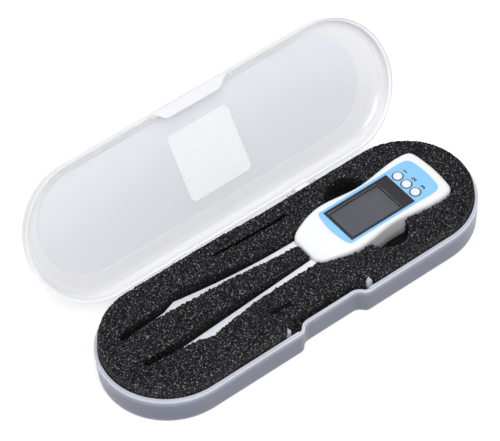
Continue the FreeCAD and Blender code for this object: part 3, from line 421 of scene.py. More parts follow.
def lacquered_laminate():
    """Green solder lacquer over copper tracks."""
    material, tree, shader = start_material("lacquered_laminate", Roughness=0.3, IOR=1.55)
    place = add(tree, "ShaderNodeTexCoord").outputs["Object"]
    tracks = add(
        tree, "ShaderNodeTexWave", {"bands_direction": "Y"},
        {"Scale": WAVE_PERIOD * repeats(TRACK_PITCH), "Distortion": 6.0, "Detail": 1.0, "Detail Scale": 0.6},
        {"Vector": place},
    )
    edge = add(
        tree, "ShaderNodeMapRange", inputs={"From Min": 0.55, "From Max": 0.65},
        links={"Value": tracks.outputs["Fac"]},
    )
    blend = add(
        tree, "ShaderNodeMix", {"data_type": "RGBA"}, {"A": linear("#0b4a2a"), "B": linear("#1f6f3f")},
        {"Factor": edge.outputs["Result"]},
    )
    bump = add(
        tree, "ShaderNodeBump", inputs={"Strength": 0.4, "Distance": 0.03 * MM},
        links={"Height": edge.outputs["Result"]},
    )
    tree.links.new(blend.outputs["Result"], shader.inputs["Base Color"])
    tree.links.new(bump.outputs["Normal"], shader.inputs["Normal"])
    return material


black_nylon = dark_nylon()
rubber = silicone_rubber()
laminate = lacquered_laminate()
print("inner materials:", black_nylon.name, rubber.name, laminate.name)

# %% [markdown]
# ## Metals
#
# Steel strip comes off its rollers with fine scratches all one way. A noise stretched
# forty to one along the strip makes them, coarser than real ones so that they show. It
# drives the roughness, so the gloss streaks while the colour stays even. The same
# function makes the blades, the screws and pins, the nickelled cell can and the brass
# contacts.


# %% Metals
SCRATCH_STRETCH = 40
GLOSSIER = 0.08
DULLER = 0.12


def drawn_metal(name, code, roughness, scratch_mm, along="X"):
    """A metal with fine scratches along one axis."""
    material, tree, shader = start_material(name, Metallic=1.0)
    shader.inputs["Base Color"].default_value = linear(code)
    place = add(tree, "ShaderNodeTexCoord").outputs["Object"]
    stretch = [1.0, 1.0, 1.0]
    stretch["XYZ".index(along)] = 1 / SCRATCH_STRETCH
    mapped = add(tree, "ShaderNodeMapping", inputs={"Scale": stretch}, links={"Vector": place})
    scratches = add(
        tree, "ShaderNodeTexNoise", inputs={"Scale": repeats(scratch_mm), "Detail": 4.0},
        links={"Vector": mapped.outputs["Vector"]},
    )
    level = add(
        tree, "ShaderNodeMapRange", inputs={"To Min": roughness - GLOSSIER, "To Max": roughness + DULLER},
        links={"Value": scratches.outputs["Fac"]},
    )
    tree.links.new(level.outputs["Result"], shader.inputs["Roughness"])
    return material


blade_steel = drawn_metal("rolled_stainless_steel", "#b9bbbd", 0.32, scratch_mm=0.15)
screw_steel = drawn_metal("zinc_plated_steel", "#c3c5c8", 0.28, scratch_mm=0.1, along="Z")
cell_nickel = drawn_metal("nickelled_steel", "#c9c8c5", 0.25, scratch_mm=0.2)
contact_brass = drawn_metal("nickelled_brass", "#cfc5a4", 0.3, scratch_mm=0.12)
print("metals:", blade_steel.name, screw_steel.name, cell_nickel.name, contact_brass.name)

# %% [markdown]
# ## The face: printed film, window and display glass
#
# The overlay is polycarbonate film, printed light blue on its back, so it has an even
# colour under a fine satin grain. The window is a clear grey acrylic plate: almost all
# that is seen of it is its smooth reflection. Behind it lies the display glass, whose
# polariser is a flat neutral grey when the display is off.


# %% Face materials
def printed_film():
    """Light blue ink under satin polycarbonate film."""
    material, tree, shader = start_material("printed_polycarbonate_film", Roughness=0.36, IOR=1.58)
    place = mould_texture(tree, shader, grain_mm=0.15, depth_mm=0.006, strength=0.3)
    mottle(tree, shader, place, "#86c8fb", "#8fcffd", size_mm=8)
    return material


def grey_acrylic():
    """A clear window plate with a light grey tint."""
    material, tree, shader = start_material(
        "polished_grey_acrylic", Roughness=0.03, IOR=1.49, Transmission_Weight=1.0,
    )
    place = add(tree, "ShaderNodeTexCoord").outputs["Object"]
    mottle(tree, shader, place, "#dcdde1", "#e1e2e5", size_mm=30)
    return material


def polariser_glass():
    """The display's grey polariser: even, faintly satin."""
    material, tree, shader = start_material("grey_polariser", Roughness=0.35, IOR=1.52)
    place = mould_texture(tree, shader, grain_mm=0.12, depth_mm=0.004, strength=0.2)
    mottle(tree, shader, place, "#8e8f97", "#93949c", size_mm=14)
    return material


def printed_ink(name, dark, light):
    """A thin layer of screen-printed ink."""
    material, tree, shader = start_material(name, Roughness=0.5, IOR=1.5)
    place = mould_texture(tree, shader, grain_mm=0.1, depth_mm=0.004)
    mottle(tree, shader, place, dark, light, size_mm=2)
    return material


blue_film = printed_film()
window_acrylic = grey_acrylic()
display_grey = polariser_glass()
display_rim = printed_ink("black_display_rim", "#141417", "#19191c")
mask_ink = printed_ink("black_screen_ink", "#1d1d22", "#222227")
# navy ink for the printed numbers, and for the rings of painted shade round the buttons
ink_and_gap_shade = printed_ink("navy_ink_and_gap_shade", "#1c3042", "#223a50")
gasket_tape = printed_ink("white_gasket_tape", "#e4e4e8", "#ededf0")
print("face materials:", blue_film.name, window_acrylic.name, display_grey.name, mask_ink.name)

# %% [markdown]
# ## Label paper
#
# The label inside the lid is matt coated paper. Paper is never quite even: its fibres
# leave soft cloudy patches, and a fine fibre grain that only shows when light rakes
# across it. Two noises of different size give both, the grain a little too coarse so
# that it shows at all.


# %% Label paper
def coated_paper():
    """Matt white label paper with a fibre grain."""
    material, tree, shader = start_material("matt_coated_paper", Roughness=0.85, IOR=1.45)
    place = mould_texture(tree, shader, grain_mm=0.5, depth_mm=0.04, strength=0.6)
    mottle(tree, shader, place, "#f3f4f7", "#fdfdfe", size_mm=3.5)
    return material


paper = coated_paper()
print("paper:", paper.name)

# %% [markdown]
# ## Open-cell foam: struts and glints
#
# The lining is coarse open-cell polyurethane foam, dyed black. It is a net of thin struts round bubbles of a
# little under a millimetre. A cut face shows dark pits with paler struts between them, and here and there a
# strut catches the light. A Voronoi texture is that net: the distance to its cell borders is small on a strut
# and large in a pit, and it sets the colour and the bump. The colour is painted light and shade: painted
# shade in the pits, paler struts, and painted glints where a noise a little coarser than the cells lets only
# some struts shine. One coarser still tints small patches brown.


# %% Foam struts and colour
FOAM_CELL = 0.68
# as a share of a cell
STRUT_WIDTH = 0.4
FLECK_SIZE = 0.85
BROWN_PATCH = 2.4
# painted light and shade, from painted shade in a pit through the struts to a painted glint, with the share
# at which each shade between them lies
FOAM_PIT_SHADE_TO_GLINT = ["#131314", (0.25, "#222224"), (0.6, "#4d4d51"), "#c8c8ce"]
BROWN_TINT = "#e8c4a8"


def foam_struts(tree, place):
    """1 on the middle of a strut, falling to 0 in a pit, as a socket."""
    cells = add(
        tree, "ShaderNodeTexVoronoi", {"feature": "DISTANCE_TO_EDGE"}, {"Scale": repeats(FOAM_CELL)},
        {"Vector": place},
    )
    strut = add(
        tree, "ShaderNodeMapRange", inputs={"From Max": STRUT_WIDTH, "To Min": 1.0, "To Max": 0.0},
        links={"Value": cells.outputs["Distance"]},
    )
    return strut.outputs["Result"]


def foam_shade(tree, place, strut):
    """Painted shade in the pits, grey struts and a few painted bright glints, as a socket."""
    flecks = add(
        tree, "ShaderNodeTexNoise", inputs={"Scale": repeats(FLECK_SIZE), "Detail": 1.5, "Roughness": 0.6},
        links={"Vector": place},
    )
    lift = add(
        tree, "ShaderNodeMapRange", inputs={"From Min": 0.4, "From Max": 0.68},
        links={"Value": flecks.outputs["Fac"]},
    )
    glint = add(
        tree, "ShaderNodeMath", {"operation": "MULTIPLY"}, links={0: strut, 1: lift.outputs["Result"]},
    )
    ramp = add(tree, "ShaderNodeValToRGB", links={"Fac": glint.outputs["Value"]})
    stops = ramp.color_ramp.elements
    stops[0].color = linear(FOAM_PIT_SHADE_TO_GLINT[0])
    stops[1].color = linear(FOAM_PIT_SHADE_TO_GLINT[-1])
    for share, shade in FOAM_PIT_SHADE_TO_GLINT[1:-1]:
        stops.new(share).color = linear(shade)
    return ramp.outputs["Color"]


def brown_patches(tree, place, colour):
    """A colour with faintly brown patches, as a socket."""
    warmth = add(
        tree, "ShaderNodeTexNoise", inputs={"Scale": repeats(BROWN_PATCH), "Detail": 1.0},
        links={"Vector": place},
    )
    warm = add(
        tree, "ShaderNodeMapRange", inputs={"From Min": 0.55, "From Max": 0.75, "To Max": 0.5},
        links={"Value": warmth.outputs["Fac"]},
    )
    tinted = add(
        tree, "ShaderNodeMix", {"data_type": "RGBA", "blend_type": "MULTIPLY"}, {"B": linear(BROWN_TINT)},
        {"A": colour, "Factor": warm.outputs["Result"]},
    )
    return tinted.outputs["Result"]


print("foam cells of", FOAM_CELL, "mm")

# %% [markdown]
# ## Open-cell foam: shadow in the cuts
#
# A pocket cut into foam is black inside, because light that enters the cells there hardly comes out again,
# and the material paints that shadow into the colour. Two numbers on each point of the block, written further
# down, tell the material where that is: "sunk" is the depth below the cut top, and "inner" is 1 inside the
# block and 0 on its outer wall, where steep faces stay as light as the top. The darker of the two painted
# shadows counts.


# %% Foam shadow and material
SHADOW_FROM = 0.8 * MM
SHADOW_FULL = 4.0 * MM
DEEP_SHADOW = 0.9
STEEP_SHADOW = 0.8
# painted shadow: the colour the foam darkens to inside its cuts
PAINTED_CUT_SHADOW = "#0c0c0d"
STRUT_BUMP = 0.4 * MM


def deep_shadow(tree):
    """How dark a point is for lying below the foam's top, as a socket."""
    sunk = add(tree, "ShaderNodeAttribute", {"attribute_name": "sunk"})
    depth = add(
        tree, "ShaderNodeMapRange", {"interpolation_type": "SMOOTHSTEP"},
        {"From Min": SHADOW_FROM, "From Max": SHADOW_FULL, "To Max": DEEP_SHADOW},
        {"Value": sunk.outputs["Fac"]},
    )
    return depth.outputs["Result"]


def steep_shadow(tree):
    """How dark a point is for lying on a steep face inside the block, as a socket."""
    normal = add(tree, "ShaderNodeNewGeometry").outputs["Normal"]
    facing = add(tree, "ShaderNodeSeparateXYZ", links={"Vector": normal})
    steep = add(
        tree, "ShaderNodeMapRange", inputs={"From Min": 0.6, "From Max": 0.1, "To Max": STEEP_SHADOW},
        links={"Value": facing.outputs["Z"]},
    )
    inner = add(tree, "ShaderNodeAttribute", {"attribute_name": "inner"})
    shadow = add(
        tree, "ShaderNodeMath", {"operation": "MULTIPLY"},
        links={0: steep.outputs["Result"], 1: inner.outputs["Fac"]},
    )
    return shadow.outputs["Value"]


def open_cell_foam():
    """Black foam: painted shade in its pits, grey struts, a few painted bright glints, and painted shadow
    inside its cuts.
    """
    material, tree, shader = start_material(
        "open_cell_polyurethane", Roughness=0.8, IOR=1.5, Specular_IOR_Level=0.2,
    )
    place = add(tree, "ShaderNodeTexCoord").outputs["Object"]
    strut = foam_struts(tree, place)
    colour = brown_patches(tree, place, foam_shade(tree, place, strut))
    darker = add(
        tree, "ShaderNodeMath", {"operation": "MAXIMUM"}, links={0: deep_shadow(tree), 1: steep_shadow(tree)},
    )
    shaded = add(
        tree, "ShaderNodeMix", {"data_type": "RGBA"}, {"B": linear(PAINTED_CUT_SHADOW)},
        {"A": colour, "Factor": darker.outputs["Value"]},
    )
    bump = add(
        tree, "ShaderNodeBump", inputs={"Strength": 0.9, "Distance": STRUT_BUMP}, links={"Height": strut},
    )
    tree.links.new(shaded.outputs["Result"], shader.inputs["Base Color"])
    tree.links.new(bump.outputs["Normal"], shader.inputs["Normal"])
    return material


foam_material = open_cell_foam()
print("foam:", foam_material.name)

# %% [markdown]
# ## Giving each rigid piece its finish
#
# The rigid pieces keep their own meshes, so a finish is one assignment to a material
# slot. A table of finish and piece names says it all in one place.

# %% Finishes of the rigid pieces
FINISHES = {
    frosted_tray: ["case_base"],
    frosted_lid: ["case_lid"],
    paper: ["lid_label"],
    white_shell: ["front_shell"],
    lower_shell: ["rear_shell", "battery_door"],
    white_arm: ["prong_sheath_left", "prong_sheath_right"],
    white_button: ["button_up", "button_set", "button_down"],
    blue_film: ["face_overlay"],
    window_acrylic: ["display_window"],
    display_rim: ["display_panel"],
    black_nylon: ["display_frame", "control_chip", "tact_switches", "battery_holder",
                  "prong_clamp", "temperature_sensor"],
    rubber: ["contact_strips"],
    laminate: ["main_board"],
    blade_steel: ["prong_blade_left", "prong_blade_right"],
    screw_steel: ["hinge_pins", "door_screw", "housing_screws", "board_screws"],
    cell_nickel: ["coin_cell"],
    contact_brass: ["battery_contacts", "lead_strips"],
}

for material, names in FINISHES.items():
    for name in names:
        for slot in frame["nodes"][name].material_slots:
            slot.material = material
    print(material.name, "->", ", ".join(names))

# %% [markdown]
# ## Small helpers for new pieces
#
# A new piece starts as a bmesh, which is a mesh that can be edited in code. Its place
# is in its vertices and its object stays at the origin. It then rides on one of the
# construction's bodies, so that it moves with it, and takes a material slot.


# %% Piece helpers
SAME_PLACE = 0.001 * MM


def finish_piece(name, shape, material, body):
    """Turns a bmesh into a flat-faced piece that rides on a body."""
    bmesh.ops.recalc_face_normals(shape, faces=shape.faces)
    mesh = bpy.data.meshes.new(name)
    shape.to_mesh(mesh)
    shape.free()
    mesh.materials.append(material)
    mesh.polygons.foreach_set("use_smooth", [False] * len(mesh.polygons))
    piece = bpy.data.objects.new(name, mesh)
    bpy.context.scene.collection.objects.link(piece)
    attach(piece, body)
    print(name, len(mesh.polygons), "faces")


def thicken(shape, height):
    """Raises flat faces by a height, so that ink and film have a real thickness."""
    flat = list(shape.faces)
    raised = bmesh.ops.extrude_face_region(shape, geom=flat)
    top = [item for item in raised["geom"] if isinstance(item, bmesh.types.BMVert)]
    bmesh.ops.translate(shape, verts=top, vec=(0, 0, height))


print("piece helpers ready")

# %% [markdown]
# ## The foam block
#
# The foam could be a smooth block with a bumpy material, but its silhouette gives that
# away: real foam has a ragged edge against the white arms. So the block is remeshed
# into even squares of little more than half a millimetre, and every point is then moved
# in or out by the same kind of cell pattern that the material draws.

# %% Remeshing the foam
FOAM_GRID = 0.6 * MM


def even_grid_copy(node_name, name, grid):
    """A copy of a rigid node's mesh, remeshed into even squares."""
    shape = bmesh.new()
    shape.from_mesh(frame["nodes"][node_name].data)
    bmesh.ops.remove_doubles(shape, verts=shape.verts, dist=SAME_PLACE)
    mesh = bpy.data.meshes.new(name)
    shape.to_mesh(mesh)
    shape.free()
    piece = bpy.data.objects.new(name, mesh)
    bpy.context.scene.collection.objects.link(piece)
    remesh = piece.modifiers.new("even_grid", "REMESH")
    remesh.mode = "VOXEL"
    remesh.voxel_size = grid
    evaluated = piece.evaluated_get(bpy.context.evaluated_depsgraph_get())
    piece.data = bpy.data.meshes.new_from_object(evaluated)
    piece.modifiers.clear()
    print(name, "grid squares:", len(piece.data.polygons))
    return piece


foam = even_grid_copy("foam_insert", "foam_block", FOAM_GRID)

# %% [markdown]
# ## Where a point of the foam lies
#
# How far a point has to move depends on its place, so four small functions answer what
# has to be known of it: how much of a strut it lies on, how far inside the block's
# outline it is and which way is out, whether a knife went through the foam there, and
# how high the foam's top is in its stretch of the case.
#
# The outline is a straight middle with two round ends. Every place is looked at from the
# nearest point of the middle line, so one rule serves the sides and the ends.

# %% Asking after a point
PIT_CELL = 1.1
# as a share of a cell
PIT_WALL = 0.6
# the middle along and across the case, and the length, in millimetres
SLITS = [(-5.0, 24.0, 43.0), (-20.3, -20.0, 11.0)]
SLIT_REACH = 0.8 * MM
TOP_STEP = 4.0 * MM


def strut_height(place):
    """1 on a strut, falling to 0 in the middle of a pit."""
    distances = noise.voronoi(place * repeats(PIT_CELL), distance_metric="DISTANCE", exponent=2.5)[0]
    return 1 - min(1.0, (distances[1] - distances[0]) / PIT_WALL)


def outward_from(place, low, high):
    """The way out from the middle line of a round-ended block, and how far inside its outline a place is."""
    half_width = (high.y - low.y) / 2
    straight = (high.x - low.x) / 2 - half_width
    spine = Vector((max(-straight, min(straight, place.x)), (low.y + high.y) / 2, 0))
    way = Vector((place.x, place.y, 0)) - spine
    return way.normalized(), half_width - way.length


def in_slit(place):
    """True where the knife went through the foam's top."""
    for x, y, length in SLITS:
        if abs(place.x - x * MM) < length * MM / 2 and abs(place.y - y * MM) < SLIT_REACH:
            return True
    return False


def local_tops(shape):
    """The height of the foam's top in each short stretch along the case."""
    tops = {}
    for point in shape.verts:
        stretch = round(point.co.x / TOP_STEP)
        tops[stretch] = max(tops.get(stretch, 0.0), point.co.z)
    return tops


print("a strut's height at the origin:", round(strut_height(Vector()), 2))

# %% [markdown]
# ## How far a point of the foam moves
#
# Most of a move is the cell pattern: points in a pit sink by six tenths of a millimetre,
# and points on a strut stand proud by about as much. The underside lies flat on the
# tray, so it stays as it is, and a pocket's walls only move back, clear of the meter.
#
# Where the block meets the tray's leaning walls the soft foam also swells out to fill
# the gap, and along its top edge, which only the closed lid presses round, it stands up
# squarer than the pressed shape of the construction. It is eased away from the lid's
# catch. Two slits are cut into the top with a knife. Their lips nearly touch, so they
# only show as dark grooves, where the points sink.

# %% Moving a point
PIT_DEPTH = 1.25 * MM
STRUT_RISE = 0.65 * MM
VARIED_PATCH = 2.5
FACES_OUT = 0.2
UPRIGHT = 0.5
WALL_LEAN = 0.8 * MM
WALL_ROUGHNESS = 0.3
EDGE_FILL = 1.4 * MM
EDGE_REACH = 4.5 * MM
POCKET_RISE = 0.2 * STRUT_RISE
POCKET_EASE = 0.2 * MM
CATCH_HALF = 21.0 * MM
CATCH_REACH = 4.0 * MM
CATCH_EASE = 0.6 * MM
SLIT_SINK = 0.9 * MM


def pattern_move(place):
    """The cell pattern's own move, which is stronger in some patches than in others."""
    pattern = strut_height(place) * PIT_DEPTH - (PIT_DEPTH - STRUT_RISE)
    return pattern * (0.75 + 0.5 * noise.noise(place * repeats(VARIED_PATCH)))


def wall_move(place, depth, low, high, rim):
    """The move on the outer wall: rougher and more swollen towards the top edge."""
    up_wall = min(1.0, (place.z - low.z) / (rim - low.z))
    up_edge = max(0.0, (place.z - rim) / (high.z - rim))
    near = 1 - max(0.0, depth) / EDGE_REACH
    swelling = WALL_LEAN * up_wall + EDGE_FILL * up_edge
    roughness = WALL_ROUGHNESS + (1 - WALL_ROUGHNESS) * up_edge
    return min(pattern_move(place), 0.0) * roughness + swelling * near


def point_move(point, low, high, rim):
    """How far a point moves along its normal."""
    place = point.co
    way, depth = outward_from(place, low, high)
    faces_out = point.normal.dot(way) > FACES_OUT
    if place.z < low.z + PIT_DEPTH:
        return 0.0
    if abs(place.x) < CATCH_HALF and place.y < low.y + CATCH_REACH and faces_out:
        return min(pattern_move(place), 0.0) - CATCH_EASE
    if in_slit(place):
        return -SLIT_SINK
    if abs(point.normal.z) < UPRIGHT and depth >= EDGE_REACH:
        return min(pattern_move(place), POCKET_RISE) - POCKET_EASE
    if faces_out and depth < EDGE_REACH:
        return wall_move(place, depth, low, high, rim)
    return pattern_move(place)


print("a pit sinks by", round((PIT_DEPTH - STRUT_RISE) / MM, 2), "mm")

# %% [markdown]
# ## Roughening the block
#
# First each point gets the two numbers that the foam's material reads. A point of a slit
# counts as deep, whatever its height. Then every point moves along its normal, and a
# finer noise tears it a little to one side, so that the edges look torn and not cast.
# That noise starts from the clock unless it is given a seed, and with one the block
# comes out the same every time.
#
# The closed lid's skirt comes down close round the block, so most of what would stand out too far above the
# tray's rim is held back.

# %% Roughening the foam
TEAR = 0.5 * MM
TEAR_CELL = 0.9
TEAR_SEED = 1
LID_ROOM = 0.3 * MM
HELD_BACK = 0.7


def mark_shadows(shape, low, high):
    """Writes how far each point is sunk and whether it is inner."""
    tops = local_tops(shape)
    sunk = shape.verts.layers.float.new("sunk")
    inner = shape.verts.layers.float.new("inner")
    for point in shape.verts:
        depth = outward_from(point.co, low, high)[1]
        point[inner] = max(0.0, min(1.0, depth / EDGE_REACH))
        if in_slit(point.co):
            point[sunk] = SHADOW_FULL
        elif depth >= EDGE_REACH:
            point[sunk] = tops[round(point.co.x / TOP_STEP)] - point.co.z


def torn_move(point, low, high, rim):
    """A point's whole move, with a tear to the side where it moves at all."""
    move = point_move(point, low, high, rim)
    tear = noise.noise_vector(point.co * repeats(TEAR_CELL)) * TEAR
    return point.normal * move + (tear if move else Vector())


def roughen(piece, low, high, rim):
    """Moves every point of the foam, and holds back what the lid's skirt would meet."""
    shape = bmesh.new()
    shape.from_mesh(piece.data)
    shape.normal_update()
    mark_shadows(shape, low, high)
    moves = [torn_move(point, low, high, rim) for point in shape.verts]
    for point, move in zip(shape.verts, moves):
        point.co += move
        way, depth = outward_from(point.co, low, high)
        if point.co.z > rim and depth < -LID_ROOM:
            point.co += way * (depth + LID_ROOM) * HELD_BACK
    shape.to_mesh(piece.data)
    shape.free()


foam_low, foam_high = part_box("foam_insert")
noise.seed_set(TEAR_SEED)
roughen(foam, foam_low, foam_high, CASE_HEIGHT)
foam.data.materials.clear()
foam.data.materials.append(foam_material)
foam.data.polygons.foreach_set("use_smooth", [False] * len(foam.data.polygons))
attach(foam, "case")
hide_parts("foam_insert")
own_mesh(foam)
print("the foam solid's width and height in mm:", [round(side / MM, 2) for side in (foam_high - foam_low).yz])

# %% [markdown]
# ## The display area and the mask over it
#
# A display is a sandwich of glass whose middle is the grey working area and whose rim is
# black. A pale strip of sealing tape runs round it under the window. The window itself
# carries a printed black mask, which hides everything but the working area. All three are
# thin plates: one grid face, raised a little. The openings of the seal and the mask come
# from four straight cuts across the plate, after which the middle is taken away. The seal
# stays a hair's breadth clear of the window, because two faces at one height flicker.

# %% Plates and the display
INK = 0.03 * MM
INK_EDGE = Vector((0.05, 0.05, 0)) * MM
GLASS_RIM_LOW = Vector((1.9, 1.2, 0)) * MM
GLASS_RIM_HIGH = Vector((1.7, 1.2, 0)) * MM
SEAT_INSET = Vector((0.9, 0.5, 0)) * MM
GASKET_WIDTH = Vector((0.4, 0.4, 0)) * MM
MASK_LOW = Vector((1.6, 1.3, 0)) * MM
MASK_HIGH = Vector((6.4, 1.45, 0)) * MM
GASKET_HEIGHT = 0.35 * MM
HAIR_GAP = 0.05 * MM


def plate(low, high, level):
    """A thin rectangular plate between two corners, standing on a level."""
    shape = bmesh.new()
    middle = (low + high) / 2
    sides = Matrix.Diagonal((high.x - low.x, high.y - low.y, 1, 1))
    place = Matrix.Translation((middle.x, middle.y, level)) @ sides
    # a grid's size is half its side, so 0.5 makes a unit square
    bmesh.ops.create_grid(shape, x_segments=1, y_segments=1, size=0.5, matrix=place)
    return shape


def cut_opening(shape, low, high):
    """Cuts a rectangular opening into a flat plate."""
    for corner, way in ((low, (1, 0, 0)), (low, (0, 1, 0)), (high, (1, 0, 0)), (high, (0, 1, 0))):
        everything = list(shape.verts) + list(shape.edges) + list(shape.faces)
        bmesh.ops.bisect_plane(shape, geom=everything, plane_co=corner, plane_no=way)
    middle = []
    for face in shape.faces:
        centre = face.calc_center_median()
        if low.x < centre.x < high.x and low.y < centre.y < high.y:
            middle.append(face)
    bmesh.ops.delete(shape, geom=middle, context="FACES")


window_low, window_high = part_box("display_window")
panel_low, panel_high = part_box("display_panel")
area = plate(panel_low + GLASS_RIM_LOW, panel_high - GLASS_RIM_HIGH, panel_high.z)
thicken(area, INK)
finish_piece("display_area", area, display_grey, "meter")

seat_low = panel_low + SEAT_INSET
seat_high = panel_high - SEAT_INSET
gasket = plate(seat_low, seat_high, window_low.z - GASKET_HEIGHT - HAIR_GAP)
cut_opening(gasket, seat_low + GASKET_WIDTH, seat_high - GASKET_WIDTH)
thicken(gasket, GASKET_HEIGHT)
finish_piece("window_gasket", gasket, gasket_tape, "meter")

mask = plate(window_low + INK_EDGE, window_high - INK_EDGE, window_high.z)
cut_opening(mask, window_low + MASK_LOW, window_high - MASK_HIGH)
thicken(mask, INK)
finish_piece("window_mask", mask, mask_ink, "meter")

# %% [markdown]
# ## Rings of painted shade round the buttons
#
# Each button's hole is lined with a dark ring of ink, which stands for the shadow in the gap round the cap
# and makes the white cap stand out from the blue film. The ring is a many-cornered circle whose face is inset
# by the ring's width. The middle face goes and the rest is raised.

# %% Button rings
RING_WIDTH = 0.5 * MM
RING_RADIUS = 2.86 * MM


def ring(centre, radius, width, level, height):
    """A flat-topped round ring standing on a level."""
    shape = bmesh.new()
    place = Matrix.Translation((centre.x, centre.y, level))
    bmesh.ops.create_circle(shape, cap_ends=True, segments=64, radius=radius, matrix=place)
    inset = bmesh.ops.inset_individual(
        shape, faces=list(shape.faces), thickness=width, use_even_offset=True,
    )
    middle = [face for face in shape.faces if face not in inset["faces"]]
    bmesh.ops.delete(shape, geom=middle, context="FACES")
    thicken(shape, height)
    return shape


def middle_of(name):
    """The middle of a rigid piece's box."""
    low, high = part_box(name)
    return (low + high) / 2


face_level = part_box("face_overlay")[1].z
BUTTONS = ["button_up", "button_set", "button_down"]
# painted shade: each ring of dark ink stands for the shadow in the gap round the cap
for name in BUTTONS:
    gap_shade_ring = ring(middle_of(name), RING_RADIUS, RING_WIDTH, face_level, INK)
    finish_piece(f"{name}_ring", gap_shade_ring, ink_and_gap_shade, "meter")

# %% [markdown]
# ## Printed numbers
#
# Beside each button is a small printed number, plain enough for any meter. Blender's own
# letter outlines make them: a text curve is set to its real height, given the thickness
# of a layer of ink, and turned into a mesh.

# %% Numbers
NUMBER_HEIGHT = 2.2 * MM
NUMBER_DISTANCE = 4.7 * MM
BOLDNESS = 0.15 * MM
# how high a capital of this typeface is, as a share of its nominal size
CAPITAL = 0.7


def printed_number(text, centre, level):
    """A number of raised ink, centred on a point, as a bmesh."""
    curve = bpy.data.curves.new("number", "FONT")
    curve.body = text
    curve.size = NUMBER_HEIGHT / CAPITAL
    curve.align_x = "CENTER"
    curve.align_y = "CENTER"
    curve.extrude = INK / 2
    curve.offset = BOLDNESS
    letter = bpy.data.objects.new("number", curve)
    bpy.context.scene.collection.objects.link(letter)
    evaluated = letter.evaluated_get(bpy.context.evaluated_depsgraph_get())
    mesh = bpy.data.meshes.new_from_object(evaluated)
    bpy.data.objects.remove(letter)
    shape = bmesh.new()
    shape.from_mesh(mesh)
    bmesh.ops.remove_doubles(shape, verts=shape.verts, dist=SAME_PLACE)
    bmesh.ops.translate(shape, verts=shape.verts, vec=(centre.x, centre.y, level + INK / 2))
    return shape


for number, name in enumerate(BUTTONS, 1):
    centre = middle_of(name) + Vector((NUMBER_DISTANCE, 0, 0))
    print_of_number = printed_number(str(number), centre, face_level)
    finish_piece(f"number_{number}", print_of_number, ink_and_gap_shade, "meter")

# %% [markdown]
# ## Floor and world
#
# The table is a plain white surface. Its colour alone makes the white background: to
# the camera, and to rays through or off the object, it also glows a little, so that it
# reads as white where no shadow falls, while the lamps stay at a plain level. The world
# is an even pale light, like a big white room, and is white where the camera sees it.


# %% Floor and world
TABLE_REACH = 4.0
TABLE_GLOW = 0.45
ROOM_LEVEL = 0.34


def white_table():
    """A white floor that keeps shadows and reads as white to the camera."""
    material, tree, shader = start_material("white_table", Roughness=0.9)
    shader.inputs["Base Color"].default_value = linear("#f4f4f4")
    path = add(tree, "ShaderNodeLightPath")
    mirrored = add(
        tree, "ShaderNodeMath", {"operation": "MAXIMUM"},
        links={0: path.outputs["Is Glossy Ray"], 1: path.outputs["Is Transmission Ray"]},
    )
    seen = add(
        tree, "ShaderNodeMath", {"operation": "MAXIMUM"},
        links={0: mirrored.outputs["Value"], 1: path.outputs["Is Camera Ray"]},
    )
    glow = add(
        tree, "ShaderNodeMath", {"operation": "MULTIPLY"}, {1: TABLE_GLOW}, {0: seen.outputs["Value"]},
    )
    shader.inputs["Emission Color"].default_value = (1, 1, 1, 1)
    tree.links.new(glow.outputs["Value"], shader.inputs["Emission Strength"])
    return material


def floor():
    """A wide flat table top."""
    shape = bmesh.new()
    bmesh.ops.create_grid(shape, x_segments=1, y_segments=1, size=TABLE_REACH)
    mesh = bpy.data.meshes.new("table_top")
    shape.to_mesh(mesh)
    shape.free()
    mesh.materials.append(white_table())
    piece = bpy.data.objects.new("table_top", mesh)
    bpy.context.scene.collection.objects.link(piece)


def room_light(strength):
    """An even pale world that is white to the camera."""
    world = bpy.data.worlds.new("pale_room")
    bpy.context.scene.world = world
    world.use_nodes = True
    tree = world.node_tree
    background = tree.nodes["Background"]
    background.inputs["Color"].default_value = (1, 1, 1, 1)
    path = add(tree, "ShaderNodeLightPath")
    level = add(
        tree, "ShaderNodeMapRange", inputs={"To Min": strength, "To Max": 1.0},
        links={"Value": path.outputs["Is Camera Ray"]},
    )
    tree.links.new(level.outputs["Result"], background.inputs["Strength"])


floor()
room_light(ROOM_LEVEL)
print("table and room ready")

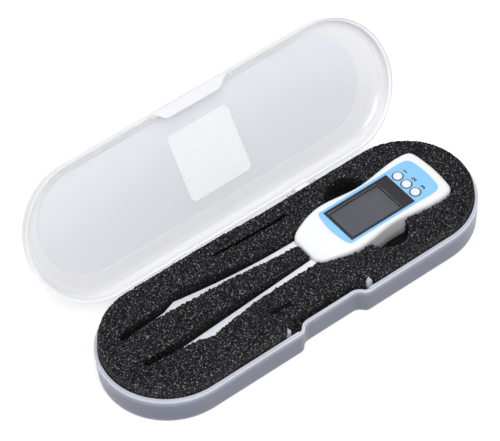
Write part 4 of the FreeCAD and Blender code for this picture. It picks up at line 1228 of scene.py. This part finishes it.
# %% [markdown]
# ## Lamps
#
# Three soft lamps, as in a small product studio. A large square one hangs high in
# front, and shades the walls that face away from it. A long thin one hangs high behind
# on the right, and draws a bright streak along the lid's round edges. An upright strip
# stands low on the left, and lifts the left end of the case.


# %% Lamps
def soft_lamp(name, place, aim, width, height, power):
    """A rectangular lamp that faces a point."""
    light = bpy.data.lights.new(name, "AREA")
    light.shape = "RECTANGLE"
    light.size = width
    light.size_y = height
    light.energy = power
    lamp = bpy.data.objects.new(name, light)
    bpy.context.scene.collection.objects.link(lamp)
    turn = (Vector(aim) - Vector(place)).to_track_quat("-Z", "Y")
    lamp.matrix_world = Matrix.Translation(place) @ turn.to_matrix().to_4x4()


AIM = (0.0, 0.03, 0.02)
soft_lamp("key_lamp", (-0.2, -0.38, 0.95), AIM, width=0.6, height=0.6, power=7.3)
soft_lamp("top_strip", (0.38, 0.33, 0.9), AIM, width=0.9, height=0.08, power=1.8)
soft_lamp("left_strip", (-0.9, -0.45, 0.12), AIM, width=0.08, height=0.5, power=1.0)
print("lamps ready")

# %% [markdown]
# ## Camera
#
# The camera stands far off with a long lens, so the case hardly tapers with distance.
# Its place is built from plain turns: a tilt from straight down, a swing round the
# object, a slight roll, and the distance along its own axis.


# %% Camera
def long_camera(target, azimuth, elevation, roll, distance, lens):
    """A camera aimed at a point from an azimuth and an elevation in degrees."""
    data = bpy.data.cameras.new("camera")
    data.lens = lens
    data.sensor_width = 36.0
    camera = bpy.data.objects.new("camera", data)
    bpy.context.scene.collection.objects.link(camera)
    camera.matrix_world = (
        Matrix.Translation(target)
        @ Matrix.Rotation(math.radians(azimuth), 4, "Z")
        @ Matrix.Rotation(math.radians(90 - elevation), 4, "X")
        @ Matrix.Rotation(math.radians(roll), 4, "Z")
        @ Matrix.Translation((0, 0, distance))
    )
    bpy.context.scene.camera = camera
    return camera


TARGET = (0.0111, 0.0453, 0.0)
camera = long_camera(TARGET, azimuth=-34.8, elevation=48.7, roll=-3.6, distance=1.3175, lens=201.4)
bpy.context.scene.view_settings.view_transform = "Standard"
print("camera at", [round(value, 3) for value in camera.matrix_world.translation])
